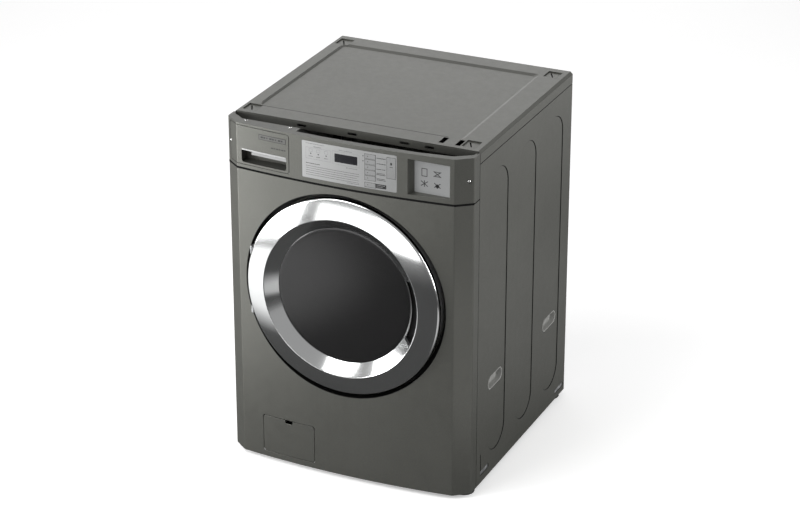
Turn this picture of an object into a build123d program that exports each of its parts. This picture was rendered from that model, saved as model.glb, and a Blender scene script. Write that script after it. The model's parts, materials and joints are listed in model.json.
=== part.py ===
from build123d import *
import os
from math import asin, atan2, cos, degrees, radians, sin, sqrt

# Front-loading commercial washing machine.
# Millimetres. +Z up, the front faces -Y, the origin is on the floor at the middle of the footprint.

# --- Casing ---------------------------------------------------------------------------------------
WIDTH = 686.0
HEIGHT = 957.0
BODY_DEPTH = 687.0        # front creases to the back of the casing
DOOR_PROUD = 34.0         # front edge of the door ring ahead of the front creases
REAR_PROUD = 46.0         # water inlets behind the casing
FOOT_GAP = 12.0           # floor to the casing's lower edge with the feet screwed in
SHEET = 1.0
CHAMFER_WIDTH = 40.0      # slanted strip at each side of the front, across the machine
CHAMFER_DEPTH = 31.0      # the same strip, front to back
BULGE = 18.5              # how far the front bows forward between its creases
FRONT_FLANGE = 64.5       # front creases to the joint with the side panels
CREASE_RADIUS = 8.0
CONTROL_HEIGHT = 121.5
TOP_STEP = 3.5            # control panel's top below the top plate
SEAM = 3.0                # gap between the control panel and the lower front
SKIRT = 32.0              # height of the top plate's sides
BEVEL = 6.5
PLASTIC = 2.5             # wall of the moulded panels

HALF = WIDTH / 2
DEPTH = DOOR_PROUD + BODY_DEPTH + REAR_PROUD
FRONT = -DEPTH / 2 + DOOR_PROUD
REAR = FRONT + BODY_DEPTH
CREASE_X = HALF - CHAMFER_WIDTH
JOINT_Y = FRONT + FRONT_FLANGE
JOINT_GAP = 1.5           # open joint between the front's returns and the side panels
TONGUE = 8.0              # side panels' tongues behind that joint
CONTROL_TOP = HEIGHT - TOP_STEP
CONTROL_BOTTOM = CONTROL_TOP - CONTROL_HEIGHT
LOWER_TOP = CONTROL_BOTTOM - SEAM
SKIRT_BOTTOM = HEIGHT - SKIRT
LAP = 0.5                 # clearance between overlapping sheets

# --- Door -----------------------------------------------------------------------------------------
RECESS_RADIUS = 283.0
DOOR_MARGIN = 18.0        # lower front's upper edge to the door recess
DOOR_Z = LOWER_TOP - DOOR_MARGIN - RECESS_RADIUS
RECESS_DEPTH = 28.5       # front creases to the recess floor
MOUTH_RADIUS = 200.0
RING_RADIUS = 271.5
RING_EDGE_RADIUS = 218.3  # front edge of the ring, where its inner cone starts
RING_RISE = 14.2          # the front edge ahead of the outer edge
WINDOW_RADIUS = 187.0
WINDOW_SET_BACK = 26.8    # edge of the window behind the ring's front edge
WINDOW_CROWN = 6.0
RING_WALL = 1.5
FRAME_RADIUS = 266.0
FRAME_WALL = 2.5
SEAT_RADIUS = 168.0       # bowl's flange
BOWL_DEPTH = 130.0
BOWL_WALL = 5.0
GRIP_FROM = -26.0         # grip opening in the ring's inner cone, degrees above the horizontal
GRIP_TO = 24.0
HINGE_X = -260.0
HINGE_BEHIND = 21.5       # hinge axis behind the ring's front edge
HINGE_PIN_RADIUS = 2.5
HINGE_EYE_RADIUS = 4.5
RUNNING = 0.08            # radial clearance of a turning fit

RING_FRONT = FRONT - DOOR_PROUD
RING_OUTER_Y = RING_FRONT + RING_RISE
WINDOW_Y = RING_FRONT + WINDOW_SET_BACK
FLOOR_Y = FRONT + RECESS_DEPTH
HINGE_Y = RING_FRONT + HINGE_BEHIND
DOOR_BACK = FLOOR_Y - 4.5
DOOR_AXIS = Axis((0, 0, DOOR_Z), (0, 1, 0))

# --- Washing unit ---------------------------------------------------------------------------------
TUB_RADIUS = 302.0
TUB_WALL = 5.0
TUB_MOUTH_RADIUS = 190.0
TUB_SET_BACK = 87.0       # front creases to the tub's front wall
TUB_DEPTH = 497.0
TUB_SPLIT = 244.0         # front wall to the joint between the halves
DRUM_CLEARANCE = 21.4     # drum inside the tub's outer face
DRUM_RADIUS = TUB_RADIUS - DRUM_CLEARANCE
DRUM_WALL = 1.2
DRUM_BEHIND = 45.0        # how much shorter the drum is than the tub
DRUM_DEPTH = TUB_DEPTH - DRUM_BEHIND
DRUM_MOUTH_RADIUS = 183.0
DRUM_SET_BACK = 15.0      # tub's front wall to the drum's front
LIFTER_HEIGHT = 52.0
LIFTER_INSET = 36.0       # clear of each end of the drum
LIFTER_LENGTH = DRUM_DEPTH - 2 * LIFTER_INSET
SPIDER_HUB = 34.0         # also how wide each arm is
SPIDER_TIP = DRUM_RADIUS - 12.6
SHAFT_RADIUS = 15.0
SHAFT_REAR_RADIUS = 12.5
ROTOR_RADIUS = 150.0
STATOR_RADIUS = 134.0
SWING = 12.0              # travel of the suspension each way
DAMPER_X = 180.0
DAMPER_REACH = 120.0      # dampers ahead of and behind the tub's joint
SPRING_X = 170.0
SPRING_BEHIND = 55.0      # springs behind the tub's joint

TUB_FRONT_Y = FRONT + TUB_SET_BACK
TUB_BACK_Y = TUB_FRONT_Y + TUB_DEPTH
SPLIT_Y = TUB_FRONT_Y + TUB_SPLIT
DRUM_FRONT_Y = TUB_FRONT_Y + DRUM_SET_BACK
DRUM_BACK_Y = DRUM_FRONT_Y + DRUM_DEPTH
SPRING_Y = SPLIT_Y + SPRING_BEHIND

# --- Base and feet --------------------------------------------------------------------------------
FOOT_X = HALF - 32.0
FOOT_FRONT_Y = FRONT + 60.0
FOOT_REAR_Y = REAR - 32.0
FOOT_RADIUS = 28.0
FOOT_PAD = 9.0
FOOT_STEM_RADIUS = 6.0
FOOT_STEM_TOP = 52.0
BASE_SHEET = 1.5
BASE_RIM = 30.0
BASE_BOTTOM = FOOT_GAP + SHEET
BASE_TOP = BASE_BOTTOM + BASE_SHEET
BASE_FRONT = FRONT + CHAMFER_DEPTH + 1.5
RIB_HEIGHT = 8.0

# --- Control panel, detergent drawer ---------------------------------------------------------------
OVERLAY_LEFT = -109.0
OVERLAY_RIGHT = 152.0
OVERLAY_FILM = 0.8
OVERLAY_BOTTOM = CONTROL_BOTTOM + 12.0
OVERLAY_TOP = CONTROL_BOTTOM + 111.0
DISPLAY_LEFT = -17.0
DISPLAY_RIGHT = 46.0
DISPLAY_BOTTOM = OVERLAY_BOTTOM + 56.0
DISPLAY_TOP = DISPLAY_BOTTOM + 23.0
KEY_LEFT = 66.0
KEY_WIDTH = 29.0
KEY_HEIGHT = 11.7
KEY_PITCH = 14.5
KEY_COUNT = 5
KEY_TOP_Z = OVERLAY_BOTTOM + 85.9
SELECT_Z = OVERLAY_BOTTOM + 9.6
START_LEFT = 125.7
START_WIDTH = 23.0
START_HEIGHT = 55.5
START_Z = OVERLAY_BOTTOM + 63.2
KEY_GAP = 0.35
KEY_DEPTH = 5.0
KEY_PROUD = 0.3

DRAWER_LEFT = -HALF + 11.0
DRAWER_RIGHT = DRAWER_LEFT + 184.0
DRAWER_BOTTOM = CONTROL_BOTTOM + 10.7
DRAWER_TOP = DRAWER_BOTTOM + 103.8
DRAWER_GAP = 1.4
DRAWER_SKIN = 3.0
TRAY_FRONT = FRONT + 28.0
TRAY_LENGTH = 282.0
TRAY_WALL = 2.2
TRAY_INSET = 15.0         # tray's sides inside the drawer front's left edge
GRIP_LEFT = DRAWER_LEFT + 43.5
GRIP_RIGHT = DRAWER_RIGHT - 7.5
GRIP_BOTTOM = DRAWER_BOTTOM + 5.3
GRIP_TOP = GRIP_BOTTOM + 36.5
GRIP_UNDERCUT = 10.0

COIN_LEFT = HALF - 150.5
COIN_RIGHT = HALF - 53.0
COIN_BOTTOM = CONTROL_BOTTOM + 16.5
COIN_TOP = CONTROL_BOTTOM + 100.0
COIN_PLATE_Y = FRONT + 3.0
COIN_WALL = 2.0

# --- Access door and drain pump --------------------------------------------------------------------
ACCESS_LEFT = -240.0
ACCESS_RIGHT = -86.0
ACCESS_BOTTOM = FOOT_GAP + 17.0
ACCESS_TOP = ACCESS_BOTTOM + 105.0
ACCESS_GAP = 1.5
ACCESS_RADIUS = 8.0
ACCESS_OPENING_RADIUS = 6.0
PUMP_X = -163.0
PUMP_Z = 84.0
PUMP_RADIUS = 38.0
CAP_RADIUS = 32.0

os.makedirs("parts", exist_ok=True)


def write(builder, name):
    """Labels a finished piece and writes its file."""
    builder.part.label = name
    export_step(builder.part, f"parts/{name}.step")


def block(low, high, mode=Mode.ADD):
    """Box between two opposite corners."""
    with Locations(tuple((a + b) / 2 for a, b in zip(low, high))):
        Box(*(b - a for a, b in zip(low, high)), mode=mode)


def post(x, y, bottom, top, radius, mode=Mode.ADD):
    """Upright cylinder."""
    with Locations((x, y, (bottom + top) / 2)):
        Cylinder(radius, top - bottom, mode=mode)


def barrel(x, z, front, back, radius, mode=Mode.ADD):
    """Cylinder that lies front to back."""
    with Locations((x, (front + back) / 2, z)):
        Cylinder(radius, back - front, rotation=(90, 0, 0), mode=mode)


def mitre(corner, before, after, depth):
    """Point at a depth from two straight lines through the corner, along their left normals."""
    share = depth / (1 + before[0] * after[0] + before[1] * after[1])
    return (
        corner[0] + share * (before[0] + after[0]),
        corner[1] + share * (before[1] + after[1]),
    )


def strip(points, thickness):
    """Closed outline of bent sheet: one face follows the points, the other lies on their left."""
    normals = []
    for (x0, y0), (x1, y1) in zip(points, points[1:]):
        length = sqrt((x1 - x0) ** 2 + (y1 - y0) ** 2)
        normals.append((-(y1 - y0) / length, (x1 - x0) / length))
    before = [normals[0]] + normals
    after = normals + [normals[-1]]
    other = [mitre(p, b, a, thickness) for p, b, a in zip(points, before, after)]
    return [*points, *reversed(other)]


def radial_plane(angle=0.0):
    """Half plane through the door axis; its first direction is the radius, its second is +Y."""
    across = (cos(radians(angle)), 0, sin(radians(angle)))
    return Plane(
        origin=(0, 0, DOOR_Z), x_dir=across, z_dir=(-across[2], 0, across[0])
    )


def turned_profile(points, angle=0.0):
    """Outline of (radius, y) points, ready to be revolved about the door axis."""
    with BuildSketch(radial_plane(angle)) as outline:
        Polygon(*points, align=None)
    return outline.sketch


def front_plan(inset):
    """Plan of the front, seen from above, drawn inside the outer skin by the inset."""
    slant = atan2(CHAMFER_DEPTH, CHAMFER_WIDTH)
    arc_radius = (CREASE_X**2 + BULGE**2) / (2 * BULGE)
    tangent = asin(CREASE_X / arc_radius)
    slant_normal = (-sin(slant), cos(slant))
    corner = mitre((HALF, FRONT + CHAMFER_DEPTH), slant_normal, (-1, 0), inset)
    crease = mitre((CREASE_X, FRONT), (-sin(tangent), cos(tangent)), slant_normal, inset)
    with BuildSketch() as plan:
        with BuildLine():
            ThreePointArc((-crease[0], crease[1]), (0, FRONT - BULGE + inset), crease)
            Polyline(
                crease,
                corner,
                (corner[0], JOINT_Y - JOINT_GAP),
                (-corner[0], JOINT_Y - JOINT_GAP),
                (-corner[0], corner[1]),
                (-crease[0], crease[1]),
            )
        make_face()
        bends = [v for v in plan.vertices() if v.Y < JOINT_Y - JOINT_GAP - 1]
        fillet(bends, max(CREASE_RADIUS - inset, 1.0))
    return plan.sketch


def front_layer(outer, inner, bottom, top):
    """Upright layer of the front between two insets; an inner inset of None leaves it solid."""
    with BuildPart() as layer:
        extrude(to_extrude=Plane.XY.offset(bottom) * front_plan(outer), amount=top - bottom)
        if inner is not None:
            extrude(
                to_extrude=Plane.XY.offset(bottom) * front_plan(inner),
                amount=top - bottom,
                mode=Mode.SUBTRACT,
            )
    return layer.part


def front_window(left, right, bottom, top, radius):
    """Rounded rectangle seen from the front, as a prism through the front of the machine."""
    with BuildPart() as prism:
        with BuildSketch(Plane.XZ.offset(-FRONT)):
            with Locations(((left + right) / 2, (bottom + top) / 2)):
                RectangleRounded(right - left, top - bottom, radius)
        extrude(amount=CHAMFER_DEPTH + BULGE, both=True)
    return prism.part


def front_patch(left, right, bottom, top, radius, outer, inner):
    """Piece of the curved front between two insets, cut to a rounded rectangle."""
    with BuildPart() as patch:
        add(front_layer(outer, inner, bottom - 1, top + 1))
        add(front_window(left, right, bottom, top, radius), mode=Mode.INTERSECT)
    return patch.part


def skin_y(x):
    """Depth of the outer skin between the creases."""
    arc_radius = (CREASE_X**2 + BULGE**2) / (2 * BULGE)
    return FRONT - BULGE + arc_radius - sqrt(arc_radius**2 - x**2)


# === Base and feet ================================================================================
feet = {
    "foot_front_left": (-FOOT_X, FOOT_FRONT_Y),
    "foot_front_right": (FOOT_X, FOOT_FRONT_Y),
    "foot_rear_left": (-FOOT_X, FOOT_REAR_Y),
    "foot_rear_right": (FOOT_X, FOOT_REAR_Y),
}
base_x = HALF - SHEET - LAP
base_rear = REAR - 4.0
damper_places = [
    (side * DAMPER_X, SPLIT_Y + reach) for side in (-1, 1) for reach in (-DAMPER_REACH, DAMPER_REACH)
]

with BuildPart() as base_frame:
    block((-base_x, BASE_FRONT, BASE_BOTTOM), (base_x, base_rear, BASE_TOP + BASE_RIM))
    block(
        (-base_x + BASE_SHEET, BASE_FRONT + BASE_SHEET, BASE_TOP),
        (base_x - BASE_SHEET, base_rear - BASE_SHEET, BASE_TOP + BASE_RIM),
        mode=Mode.SUBTRACT,
    )
    for reach in (-DAMPER_REACH, DAMPER_REACH):
        block(
            (-base_x + BASE_SHEET, SPLIT_Y + reach - 30, BASE_TOP),
            (base_x - BASE_SHEET, SPLIT_Y + reach + 30, BASE_TOP + RIB_HEIGHT),
        )
    block(
        (-base_x + 90, SPLIT_Y - DAMPER_REACH + 60, BASE_BOTTOM),
        (base_x - 90, SPLIT_Y + DAMPER_REACH - 60, BASE_TOP),
        mode=Mode.SUBTRACT,
    )
    for x, y in feet.values():
        post(x, y, BASE_TOP, BASE_TOP + 22, 14)
        post(x, y, BASE_BOTTOM, BASE_TOP + 22, FOOT_STEM_RADIUS + RUNNING, mode=Mode.SUBTRACT)
write(base_frame, "base_frame")

for name, (x, y) in feet.items():
    with BuildPart() as foot:
        post(x, y, 0, FOOT_PAD, FOOT_RADIUS)
        fillet(foot.edges().group_by(Axis.Z)[0], 1.5)
        fillet(foot.edges().group_by(Axis.Z)[-1], 3)
        post(x, y, FOOT_PAD, FOOT_STEM_TOP, FOOT_STEM_RADIUS)
    write(foot, name)

# === Casing =======================================================================================
PAD_RADIUS = 59.0
PAD_PITCH = 188.0
PAD_FIRST = 191.5         # front creases to the first pressed pad's middle
PAD_BOTTOM = FOOT_GAP + 58.0
PAD_TOP_MARGIN = 55.0     # pads' tops below the skirt
PAD_DEPTH = 1.6
HANDLE_LENGTH = 94.0
HANDLE_HEIGHT = 39.0
HANDLE_DEPTH = 18.0
HANDLE_Z = FOOT_GAP + 264.5
LIP = 18.0                # width of the side panels' folded edges
UPSTAND = SHEET + LAP     # set-in of the side panels' upper edge behind the skirt

pad_top = SKIRT_BOTTOM - PAD_TOP_MARGIN
pad_middle_z = (PAD_BOTTOM + pad_top) / 2
pad_places = [FRONT + PAD_FIRST + PAD_PITCH * i for i in range(3)]
handle_places = [FRONT + PAD_FIRST - 4.5, FRONT + PAD_FIRST + 2 * PAD_PITCH - 4.5]
upstand_back = REAR - UPSTAND - SHEET - LAP
side_face = Plane(origin=(HALF, 0, 0), x_dir=(0, 1, 0), z_dir=(1, 0, 0))


def side_slot(depth, y, z, length, height):
    """Obround on the right side panel, drawn at a depth from its outer face."""
    with BuildSketch(side_face.offset(-depth)) as slot:
        with Locations((y, z)):
            SlotOverall(max(length, height), min(length, height), rotation=0 if length > height else 90)
    return slot.sketch


with BuildPart() as right_side_panel:
    block((HALF - SHEET, JOINT_Y, FOOT_GAP), (HALF, REAR, SKIRT_BOTTOM - SEAM / 2))
    block(
        (HALF - SHEET - UPSTAND, JOINT_Y + 2 * SHEET, SKIRT_BOTTOM - SEAM / 2 - SHEET),
        (HALF - SHEET, upstand_back, SKIRT_BOTTOM - SEAM / 2),
    )
    block(
        (HALF - SHEET - UPSTAND, JOINT_Y + 2 * SHEET, SKIRT_BOTTOM - SEAM / 2 - SHEET),
        (HALF - UPSTAND, upstand_back, HEIGHT - BEVEL - SHEET - LAP),
    )
    block((HALF - LIP, JOINT_Y, FOOT_GAP), (HALF - SHEET, REAR, FOOT_GAP + SHEET))
    block(
        (HALF - LIP, JOINT_Y, BASE_TOP + BASE_RIM + 1),
        (HALF - SHEET, JOINT_Y + SHEET, SKIRT_BOTTOM - SEAM / 2 - SHEET),
    )
    for wall, low, high in (
        (SHEET, BASE_TOP + BASE_RIM + 1, LOWER_TOP - 2 * SHEET),
        (PLASTIC, CONTROL_BOTTOM + 2 * PLASTIC, SKIRT_BOTTOM - SEAM / 2 - 2 * SHEET),
    ):
        block((HALF - wall - SHEET, JOINT_Y - TONGUE, low), (HALF - wall, JOINT_Y + SHEET, high))
    for y in pad_places:
        pad_length = pad_top - PAD_BOTTOM
        extrude(
            to_extrude=side_slot(SHEET, y, pad_middle_z, 2 * PAD_RADIUS, pad_length),
            amount=-PAD_DEPTH,
            taper=45,
        )
    for y in pad_places:
        extrude(
            to_extrude=side_slot(0, y, pad_middle_z, 2 * PAD_RADIUS, pad_length),
            amount=-PAD_DEPTH,
            taper=45,
            mode=Mode.SUBTRACT,
        )
    for y in handle_places:
        inner = side_slot(PAD_DEPTH, y, HANDLE_Z, HANDLE_LENGTH, HANDLE_HEIGHT)
        outer = side_slot(
            PAD_DEPTH + SHEET, y, HANDLE_Z, HANDLE_LENGTH + 2 * SHEET, HANDLE_HEIGHT + 2 * SHEET
        )
        extrude(to_extrude=outer, amount=-HANDLE_DEPTH)
        extrude(to_extrude=inner, amount=-HANDLE_DEPTH, mode=Mode.SUBTRACT)
    slot_low = FOOT_GAP + 22
    block((HALF - 2 * SHEET, FRONT + 91, slot_low), (HALF + 1, FRONT + 145, slot_low + 12), Mode.SUBTRACT)
    block(
        (HALF - 2 * SHEET, FRONT + 91, slot_low + 12),
        (HALF + 1, FRONT + 94, slot_low + 62),
        Mode.SUBTRACT,
    )
    block((HALF - 2 * SHEET, REAR - 70, slot_low - 5), (HALF + 1, REAR - 12, slot_low + 6), Mode.SUBTRACT)
write(right_side_panel, "right_side_panel")

with BuildPart() as left_side_panel:
    mirror(right_side_panel.part, about=Plane.YZ)
write(left_side_panel, "left_side_panel")

SERVICE_RADIUS = 172.0
REAR_SET_IN = SHEET + LAP
rear_outer = REAR - REAR_SET_IN
INLET_Z = SKIRT_BOTTOM - 40.0
INLET_XS = (-270.0, -205.0)
INLET_RADIUS = 13.2
THREAD = 20.0             # length of the inlets' threads
OUTLET_X = -285.0
OUTLET_Z = 110.0
OUTLET_RADIUS = 15.0
OUTLET_LENGTH = 22.0
POWER_X = 255.0

with BuildPart() as rear_panel:
    block(
        (-HALF + SHEET + LAP, rear_outer - SHEET, FOOT_GAP + SHEET),
        (HALF - SHEET - LAP, rear_outer, SKIRT_BOTTOM + SKIRT / 2),
    )
    block(
        (-HALF + SHEET + LAP, rear_outer - LIP, SKIRT_BOTTOM - SEAM),
        (HALF - SHEET - LAP, rear_outer - SHEET, SKIRT_BOTTOM + SKIRT),
        mode=Mode.SUBTRACT,
    )
    barrel(0, DOOR_Z, rear_outer - 9, rear_outer + 5, SERVICE_RADIUS, mode=Mode.SUBTRACT)
    for x in INLET_XS:
        barrel(x, INLET_Z, rear_outer - 9, rear_outer + 5, INLET_RADIUS + 1.5, mode=Mode.SUBTRACT)
    barrel(OUTLET_X, OUTLET_Z, rear_outer - 9, rear_outer + 5, OUTLET_RADIUS + 2, mode=Mode.SUBTRACT)
    barrel(POWER_X, INLET_Z, rear_outer - 9, rear_outer + 5, 11, mode=Mode.SUBTRACT)
write(rear_panel, "rear_panel")

COVER_PROUD = 16.0
with BuildPart() as rear_service_cover:
    cover_path = [
        (0, rear_outer + COVER_PROUD),
        (SERVICE_RADIUS - 14, rear_outer + COVER_PROUD),
        (SERVICE_RADIUS, rear_outer),
        (SERVICE_RADIUS + 16, rear_outer),
    ]
    revolve(profiles=turned_profile(strip(cover_path, SHEET)), axis=DOOR_AXIS)
write(rear_service_cover, "rear_service_cover")

TOP_FRONT = JOINT_Y + LAP
PRESS_DEPTH = 3.0
GROOVE_WIDTH = 1.4        # grooves along the pan's front and left edges
GROOVE_DEPTH = 0.6
FRONT_APRON = 22.0


def pressing(low, high, floor_low, floor_high, top, depth):
    """Tapered pan between a rectangle at the top and another at its floor."""
    with BuildPart() as pan:
        for (x0, y0), (x1, y1), z in ((low, high, top), (floor_low, floor_high, top - depth)):
            with BuildSketch(Plane.XY.offset(z)):
                with Locations(((x0 + x1) / 2, (y0 + y1) / 2)):
                    RectangleRounded(x1 - x0, y1 - y0, 12)
        loft()
    return pan.part


def grown(low, high, amount):
    """Rectangle's corners moved outward."""
    return (low[0] - amount, low[1] - amount), (high[0] + amount, high[1] + amount)


press_low, press_high = (-HALF + 41, FRONT + 124), (HALF - 71, REAR - 55)
floor_low, floor_high = (-HALF + 45, FRONT + 128), (HALF - 80, REAR - 69)
corner_spots = [
    (x, y)
    for x in (-HALF + 34, HALF - 40)
    for y in (FRONT + 104, REAR - 42)
]

with BuildPart() as top_plate:
    with BuildSketch(Plane.XZ.offset(-TOP_FRONT)):
        Polygon(
            *strip(
                [
                    (HALF, SKIRT_BOTTOM),
                    (HALF, HEIGHT - BEVEL),
                    (HALF - BEVEL, HEIGHT),
                    (-HALF + BEVEL, HEIGHT),
                    (-HALF, HEIGHT - BEVEL),
                    (-HALF, SKIRT_BOTTOM),
                ],
                SHEET,
            ),
            align=None,
        )
    extrude(amount=-(REAR - TOP_FRONT))
    block((-HALF + SHEET, REAR - SHEET, SKIRT_BOTTOM), (HALF - SHEET, REAR, HEIGHT - BEVEL))
    block((-HALF + BEVEL, REAR - SHEET, HEIGHT - BEVEL), (HALF - BEVEL, REAR, HEIGHT - SHEET))
    block(
        (-HALF + BEVEL, TOP_FRONT, HEIGHT - FRONT_APRON),
        (HALF - BEVEL, TOP_FRONT + SHEET, HEIGHT - SHEET),
    )
    outer_pressing, inner_pressing = grown(press_low, press_high, 1), grown(floor_low, floor_high, 1)
    add(pressing(*outer_pressing, *inner_pressing, HEIGHT - SHEET, PRESS_DEPTH))
    add(pressing(press_low, press_high, floor_low, floor_high, HEIGHT, PRESS_DEPTH), mode=Mode.SUBTRACT)
    groove_x, groove_y = press_low[0] - 1, press_low[1] - 1
    block((groove_x - GROOVE_WIDTH, press_low[1] + 22, HEIGHT - GROOVE_DEPTH),
          (groove_x, press_high[1] - 18, HEIGHT + 1), Mode.SUBTRACT)
    block((press_low[0] + 12, groove_y - GROOVE_WIDTH, HEIGHT - GROOVE_DEPTH),
          (press_high[0] - 40, groove_y, HEIGHT + 1), Mode.SUBTRACT)
    for x, y in corner_spots:
        block((x - 20, y - 22, HEIGHT - SHEET - 3), (x + 20, y + 22, HEIGHT - SHEET))
    for x, y in corner_spots:
        block((x - 19, y - 21, HEIGHT - 3), (x + 19, y + 21, HEIGHT), Mode.SUBTRACT)
        with BuildSketch(Plane.XY.offset(HEIGHT)):
            with Locations((x - 3, y)):
                SlotOverall(30, 3, rotation=-62)
        extrude(amount=-8, mode=Mode.SUBTRACT)
    for x in (HALF - 114, HALF - 69.5):
        block((x - 6.5, FRONT + 80, HEIGHT - 3), (x + 6.5, FRONT + 117, HEIGHT + 1), Mode.SUBTRACT)
    for x in (-150, -8, 137, 205):
        block((x - 12, TOP_FRONT - 1, HEIGHT - 14), (x + 12, TOP_FRONT + 3, HEIGHT - 9), Mode.SUBTRACT)
write(top_plate, "top_plate")

with BuildPart() as recess:
    recess_path = [
        (RECESS_RADIUS, RING_FRONT),
        (RECESS_RADIUS, FLOOR_Y + SHEET),
        (MOUTH_RADIUS, FLOOR_Y + SHEET),
        (MOUTH_RADIUS, FLOOR_Y + SHEET + 11),
    ]
    revolve(profiles=turned_profile(strip(recess_path, SHEET)), axis=DOOR_AXIS)
    add(front_layer(0, None, FOOT_GAP, LOWER_TOP), mode=Mode.INTERSECT)

LATCH_X = 241.0
# The access door turns on two pins, on a line that runs behind the bowed skin from edge to edge.
ACCESS_WALL = 2.5
ACCESS_AXIS_DEPTH = 3.0
ACCESS_AXIS_RISE = 6.0
ACCESS_PIN_RADIUS = 1.5
ACCESS_PIN_LENGTH = 8.5
ACCESS_EAR = 6.0          # size of the ears that carry the pins
hinge_from = Vector(ACCESS_LEFT, skin_y(ACCESS_LEFT) + ACCESS_AXIS_DEPTH, ACCESS_BOTTOM + ACCESS_AXIS_RISE)
hinge_to = Vector(ACCESS_RIGHT, skin_y(ACCESS_RIGHT) + ACCESS_AXIS_DEPTH, ACCESS_BOTTOM + ACCESS_AXIS_RISE)
access_hinge = [
    Plane(origin=hinge_from, z_dir=hinge_to - hinge_from),
    Plane(origin=hinge_to, z_dir=hinge_from - hinge_to),
]


def access_pins(radius):
    """Short round pins at both ends of the access door's hinge line."""
    with BuildPart() as pins:
        for plane in access_hinge:
            with BuildSketch(plane.offset(ACCESS_EAR - 1)):
                Circle(radius)
            extrude(amount=-ACCESS_PIN_LENGTH)
    return pins.part


with BuildPart() as front_panel:
    add(front_layer(0, SHEET, FOOT_GAP, LOWER_TOP))
    add(front_layer(SHEET, 14, FOOT_GAP, FOOT_GAP + SHEET))
    add(front_layer(SHEET, 14, LOWER_TOP - SHEET, LOWER_TOP))
    barrel(0, DOOR_Z, FRONT - 60, FRONT + 10, RECESS_RADIUS - SHEET / 2, mode=Mode.SUBTRACT)
    add(recess.part)
    add(front_patch(ACCESS_LEFT - ACCESS_GAP - SHEET, ACCESS_RIGHT + ACCESS_GAP + SHEET,
                    ACCESS_BOTTOM - ACCESS_GAP - SHEET, ACCESS_TOP + ACCESS_GAP + SHEET,
                    ACCESS_RADIUS + ACCESS_GAP + SHEET, SHEET / 2, 12))
    add(front_window(ACCESS_LEFT - ACCESS_GAP, ACCESS_RIGHT + ACCESS_GAP, ACCESS_BOTTOM - ACCESS_GAP,
                     ACCESS_TOP + ACCESS_GAP, ACCESS_OPENING_RADIUS), mode=Mode.SUBTRACT)
    block((LATCH_X - 13, FLOOR_Y - 1, DOOR_Z - 14), (LATCH_X + 13, FLOOR_Y + 3, DOOR_Z + 14), Mode.SUBTRACT)
    add(access_pins(ACCESS_PIN_RADIUS + RUNNING), mode=Mode.SUBTRACT)
write(front_panel, "front_panel")

with BuildPart() as access_door:
    add(front_patch(ACCESS_LEFT, ACCESS_RIGHT, ACCESS_BOTTOM, ACCESS_TOP, ACCESS_RADIUS, 0, ACCESS_WALL))
    notch_x = (ACCESS_LEFT + ACCESS_RIGHT) / 2 + 1
    add(front_window(notch_x - 11, notch_x + 11, ACCESS_TOP - 9.5, ACCESS_TOP + 9, 3), mode=Mode.SUBTRACT)
    ear_low = ACCESS_BOTTOM + ACCESS_AXIS_RISE - ACCESS_EAR / 2
    for left in (ACCESS_LEFT + 1, ACCESS_RIGHT - 1 - ACCESS_EAR):
        add(front_patch(left, left + ACCESS_EAR, ear_low, ear_low + ACCESS_EAR, 1,
                        ACCESS_WALL - LAP, ACCESS_AXIS_DEPTH + ACCESS_EAR / 2))
    add(access_pins(ACCESS_PIN_RADIUS))
write(access_door, "access_door")

# === Control panel ================================================================================
shelf_back = FRONT + 28
with BuildPart() as shelf:
    extrude(to_extrude=Plane.XY.offset(CONTROL_TOP - PLASTIC) * front_plan(0), amount=PLASTIC)
    with BuildSketch(Plane.XY.offset(CONTROL_TOP - PLASTIC)):
        Polygon(
            (-HALF + 8, JOINT_Y + 1),
            (-HALF + 8, FRONT + 54),
            (-CREASE_X + 3, shelf_back),
            (-135, shelf_back),
            (-135, FRONT + 5),
            (-60, FRONT + 1),
            (60, FRONT + 1),
            (200, FRONT + 6),
            (CREASE_X - 12, FRONT + 18),
            (HALF - 10, FRONT + 48),
            (HALF - 10, JOINT_Y + 1),
            align=None,
        )
    extrude(amount=PLASTIC, mode=Mode.SUBTRACT)

coin_front = FRONT - BULGE + 4
coin_ahead = COIN_PLATE_Y - coin_front


def coin_pocket(wall, back):
    """Tapered pocket in front of the blanking plate, grown by a wall thickness."""
    with BuildPart() as pocket:
        with BuildSketch(Plane.XZ.offset(-COIN_PLATE_Y)):
            with Locations(((COIN_LEFT + COIN_RIGHT) / 2, (COIN_BOTTOM + COIN_TOP) / 2)):
                Rectangle(COIN_RIGHT - COIN_LEFT + 2 * wall, COIN_TOP - COIN_BOTTOM + 2 * wall)
        with BuildSketch(Plane.XZ.offset(-coin_front)):
            left, right = COIN_LEFT - 0.8 * coin_ahead, COIN_RIGHT + 0.5
            bottom, top = COIN_BOTTOM - 0.3 * coin_ahead, COIN_TOP + 0.5 * coin_ahead
            with Locations(((left + right) / 2, (bottom + top) / 2)):
                Rectangle(right - left + 2 * wall, top - bottom + 2 * wall)
        loft()
        block(
            (COIN_LEFT - wall, COIN_PLATE_Y, COIN_BOTTOM - wall),
            (COIN_RIGHT + wall, back, COIN_TOP + wall),
        )
    return pocket.part


keys = {
    f"program_key_{i + 1}": (KEY_LEFT, KEY_LEFT + KEY_WIDTH, KEY_TOP_Z - i * KEY_PITCH, KEY_HEIGHT)
    for i in range(KEY_COUNT)
}
keys["select_key"] = (KEY_LEFT, KEY_LEFT + KEY_WIDTH, SELECT_Z, KEY_HEIGHT)
keys["start_key"] = (START_LEFT, START_LEFT + START_WIDTH, START_Z, START_HEIGHT)


def key_window(key, gap, radius=3.0):
    """Prism of a key, grown by a gap."""
    left, right, middle, height = key
    return front_window(left - gap, right + gap, middle - height / 2 - gap,
                        middle + height / 2 + gap, radius + gap)


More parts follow.
